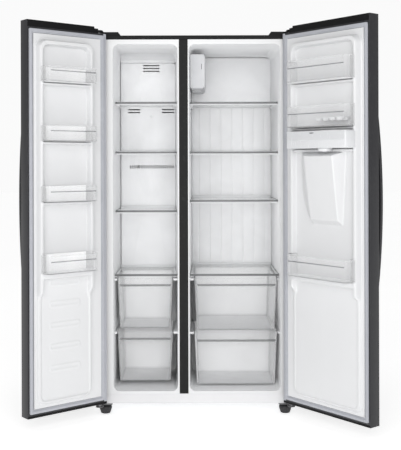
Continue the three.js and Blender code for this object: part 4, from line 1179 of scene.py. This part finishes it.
def doors():
    door_skin("freezer", FREEZER_DOOR)
    door_skin("fridge", FRIDGE_DOOR)
    magnetic_seal("freezer_door_gasket", "freezer_door_seal", FREEZER_DOOR, "freezer_door")
    magnetic_seal("fridge_door_gasket", "fridge_door_seal", FRIDGE_DOOR, "fridge_door")
    freezer_bins = [f"freezer_bin_{number}" for number in (1, 2, 3, 4)]
    fridge_bins = [f"fridge_bin_{number}" for number in (1, 2, 3)]
    tank_bottom = span("water_tank", FRIDGE_DOOR)[0].z
    freezer_relief = DoorLiner(FREEZER_DOOR, FREEZER_PLUG, freezer_bins)
    fridge_relief = DoorLiner(FRIDGE_DOOR, FRIDGE_PLUG, fridge_bins, tank_bottom)
    formed_liner("freezer_door_liner", "freezer_door_formed_liner", freezer_relief, "freezer_door")
    formed_liner("fridge_door_liner", "fridge_door_formed_liner", fridge_relief, "fridge_door")
    for node in freezer_bins:
        door_bin(node, FREEZER_DOOR)
    for node in fridge_bins:
        door_bin(node, FRIDGE_DOOR)
    egg_tray(fridge_bins[1], FRIDGE_DOOR)
    water_tank(FRIDGE_DOOR)
    dispenser(FRIDGE_DOOR)


# ---------------------------------------------------------------- camera, floor and light

CAMERA_SPOT = (-15.93, -4032.6, 1153.7)
CAMERA_ROLL = math.radians(-0.153)
LENS = 70.45
SHIFT = (0.0202, -0.139)


def camera():
    data = bpy.data.cameras.new("camera")
    data.lens = LENS
    data.sensor_width = 36
    data.sensor_fit = "AUTO"
    data.shift_x, data.shift_y = SHIFT
    data.clip_end = 50
    eye = bpy.data.objects.new("camera", data)
    bpy.context.scene.collection.objects.link(eye)
    level = Matrix.Rotation(QUARTER, 4, "X") @ Matrix.Rotation(CAMERA_ROLL, 4, "Z")
    eye.matrix_world = Matrix.Translation(CABINET @ Vector(CAMERA_SPOT)) @ level
    bpy.context.scene.camera = eye


LIGHT_TARGET = (0, 0, 0.9)
KEY_WATTS = 68
FILL_WATTS = 38
ROOM_LIGHT = 0.40
BACKDROP_LIGHT = 0.96
FLOOR_HALF = 30


def soft_light(name, spot, size, watts):
    """A rectangular area light aimed at the middle of the cabinet."""
    data = bpy.data.lights.new(name, "AREA")
    data.shape = "RECTANGLE"
    data.size, data.size_y = size
    data.energy = watts
    lamp = bpy.data.objects.new(name, data)
    bpy.context.scene.collection.objects.link(lamp)
    aim = Vector(LIGHT_TARGET) - Vector(spot)
    turn = aim.to_track_quat("-Z", "Y").to_matrix().to_4x4()
    lamp.matrix_world = Matrix.Translation(spot) @ turn


def studio():
    """Pale floor, even world light with a brighter backdrop, and two soft area lights."""
    bm = bmesh.new()
    bmesh.ops.create_grid(bm, x_segments=8, y_segments=8, size=FLOOR_HALF)
    for face in bm.faces:
        face.smooth = True
    mesh = bpy.data.meshes.new("floor")
    bm.to_mesh(mesh)
    bm.free()
    mesh.materials.append(plain_floor("floor_paper"))
    floor = bpy.data.objects.new("floor", mesh)
    bpy.context.scene.collection.objects.link(floor)
    world = bpy.data.worlds.new("studio")
    world.use_nodes = True
    tree = world.node_tree
    background = tree.nodes["Background"]
    background.inputs["Color"].default_value = (1, 1, 1, 1)
    seen = tree.nodes.new("ShaderNodeLightPath")
    strength = tree.nodes.new("ShaderNodeMapRange")
    strength.inputs["To Min"].default_value = ROOM_LIGHT
    strength.inputs["To Max"].default_value = BACKDROP_LIGHT
    tree.links.new(seen.outputs["Is Camera Ray"], strength.inputs["Value"])
    tree.links.new(strength.outputs["Result"], background.inputs["Strength"])
    bpy.context.scene.world = world
    soft_light("key", (-0.3, -4.4, 2.2), (3.0, 2.0), KEY_WATTS)
    soft_light("front_fill", (0.3, -4.8, 1.0), (2.4, 1.6), FILL_WATTS)


cabinet_case()
back_screws()
machinery()
for door_side in ("left", "right"):
    hinge_set(door_side)
fittings()
doors()
camera()
studio()
bpy.context.scene.view_settings.view_transform = "Standard"
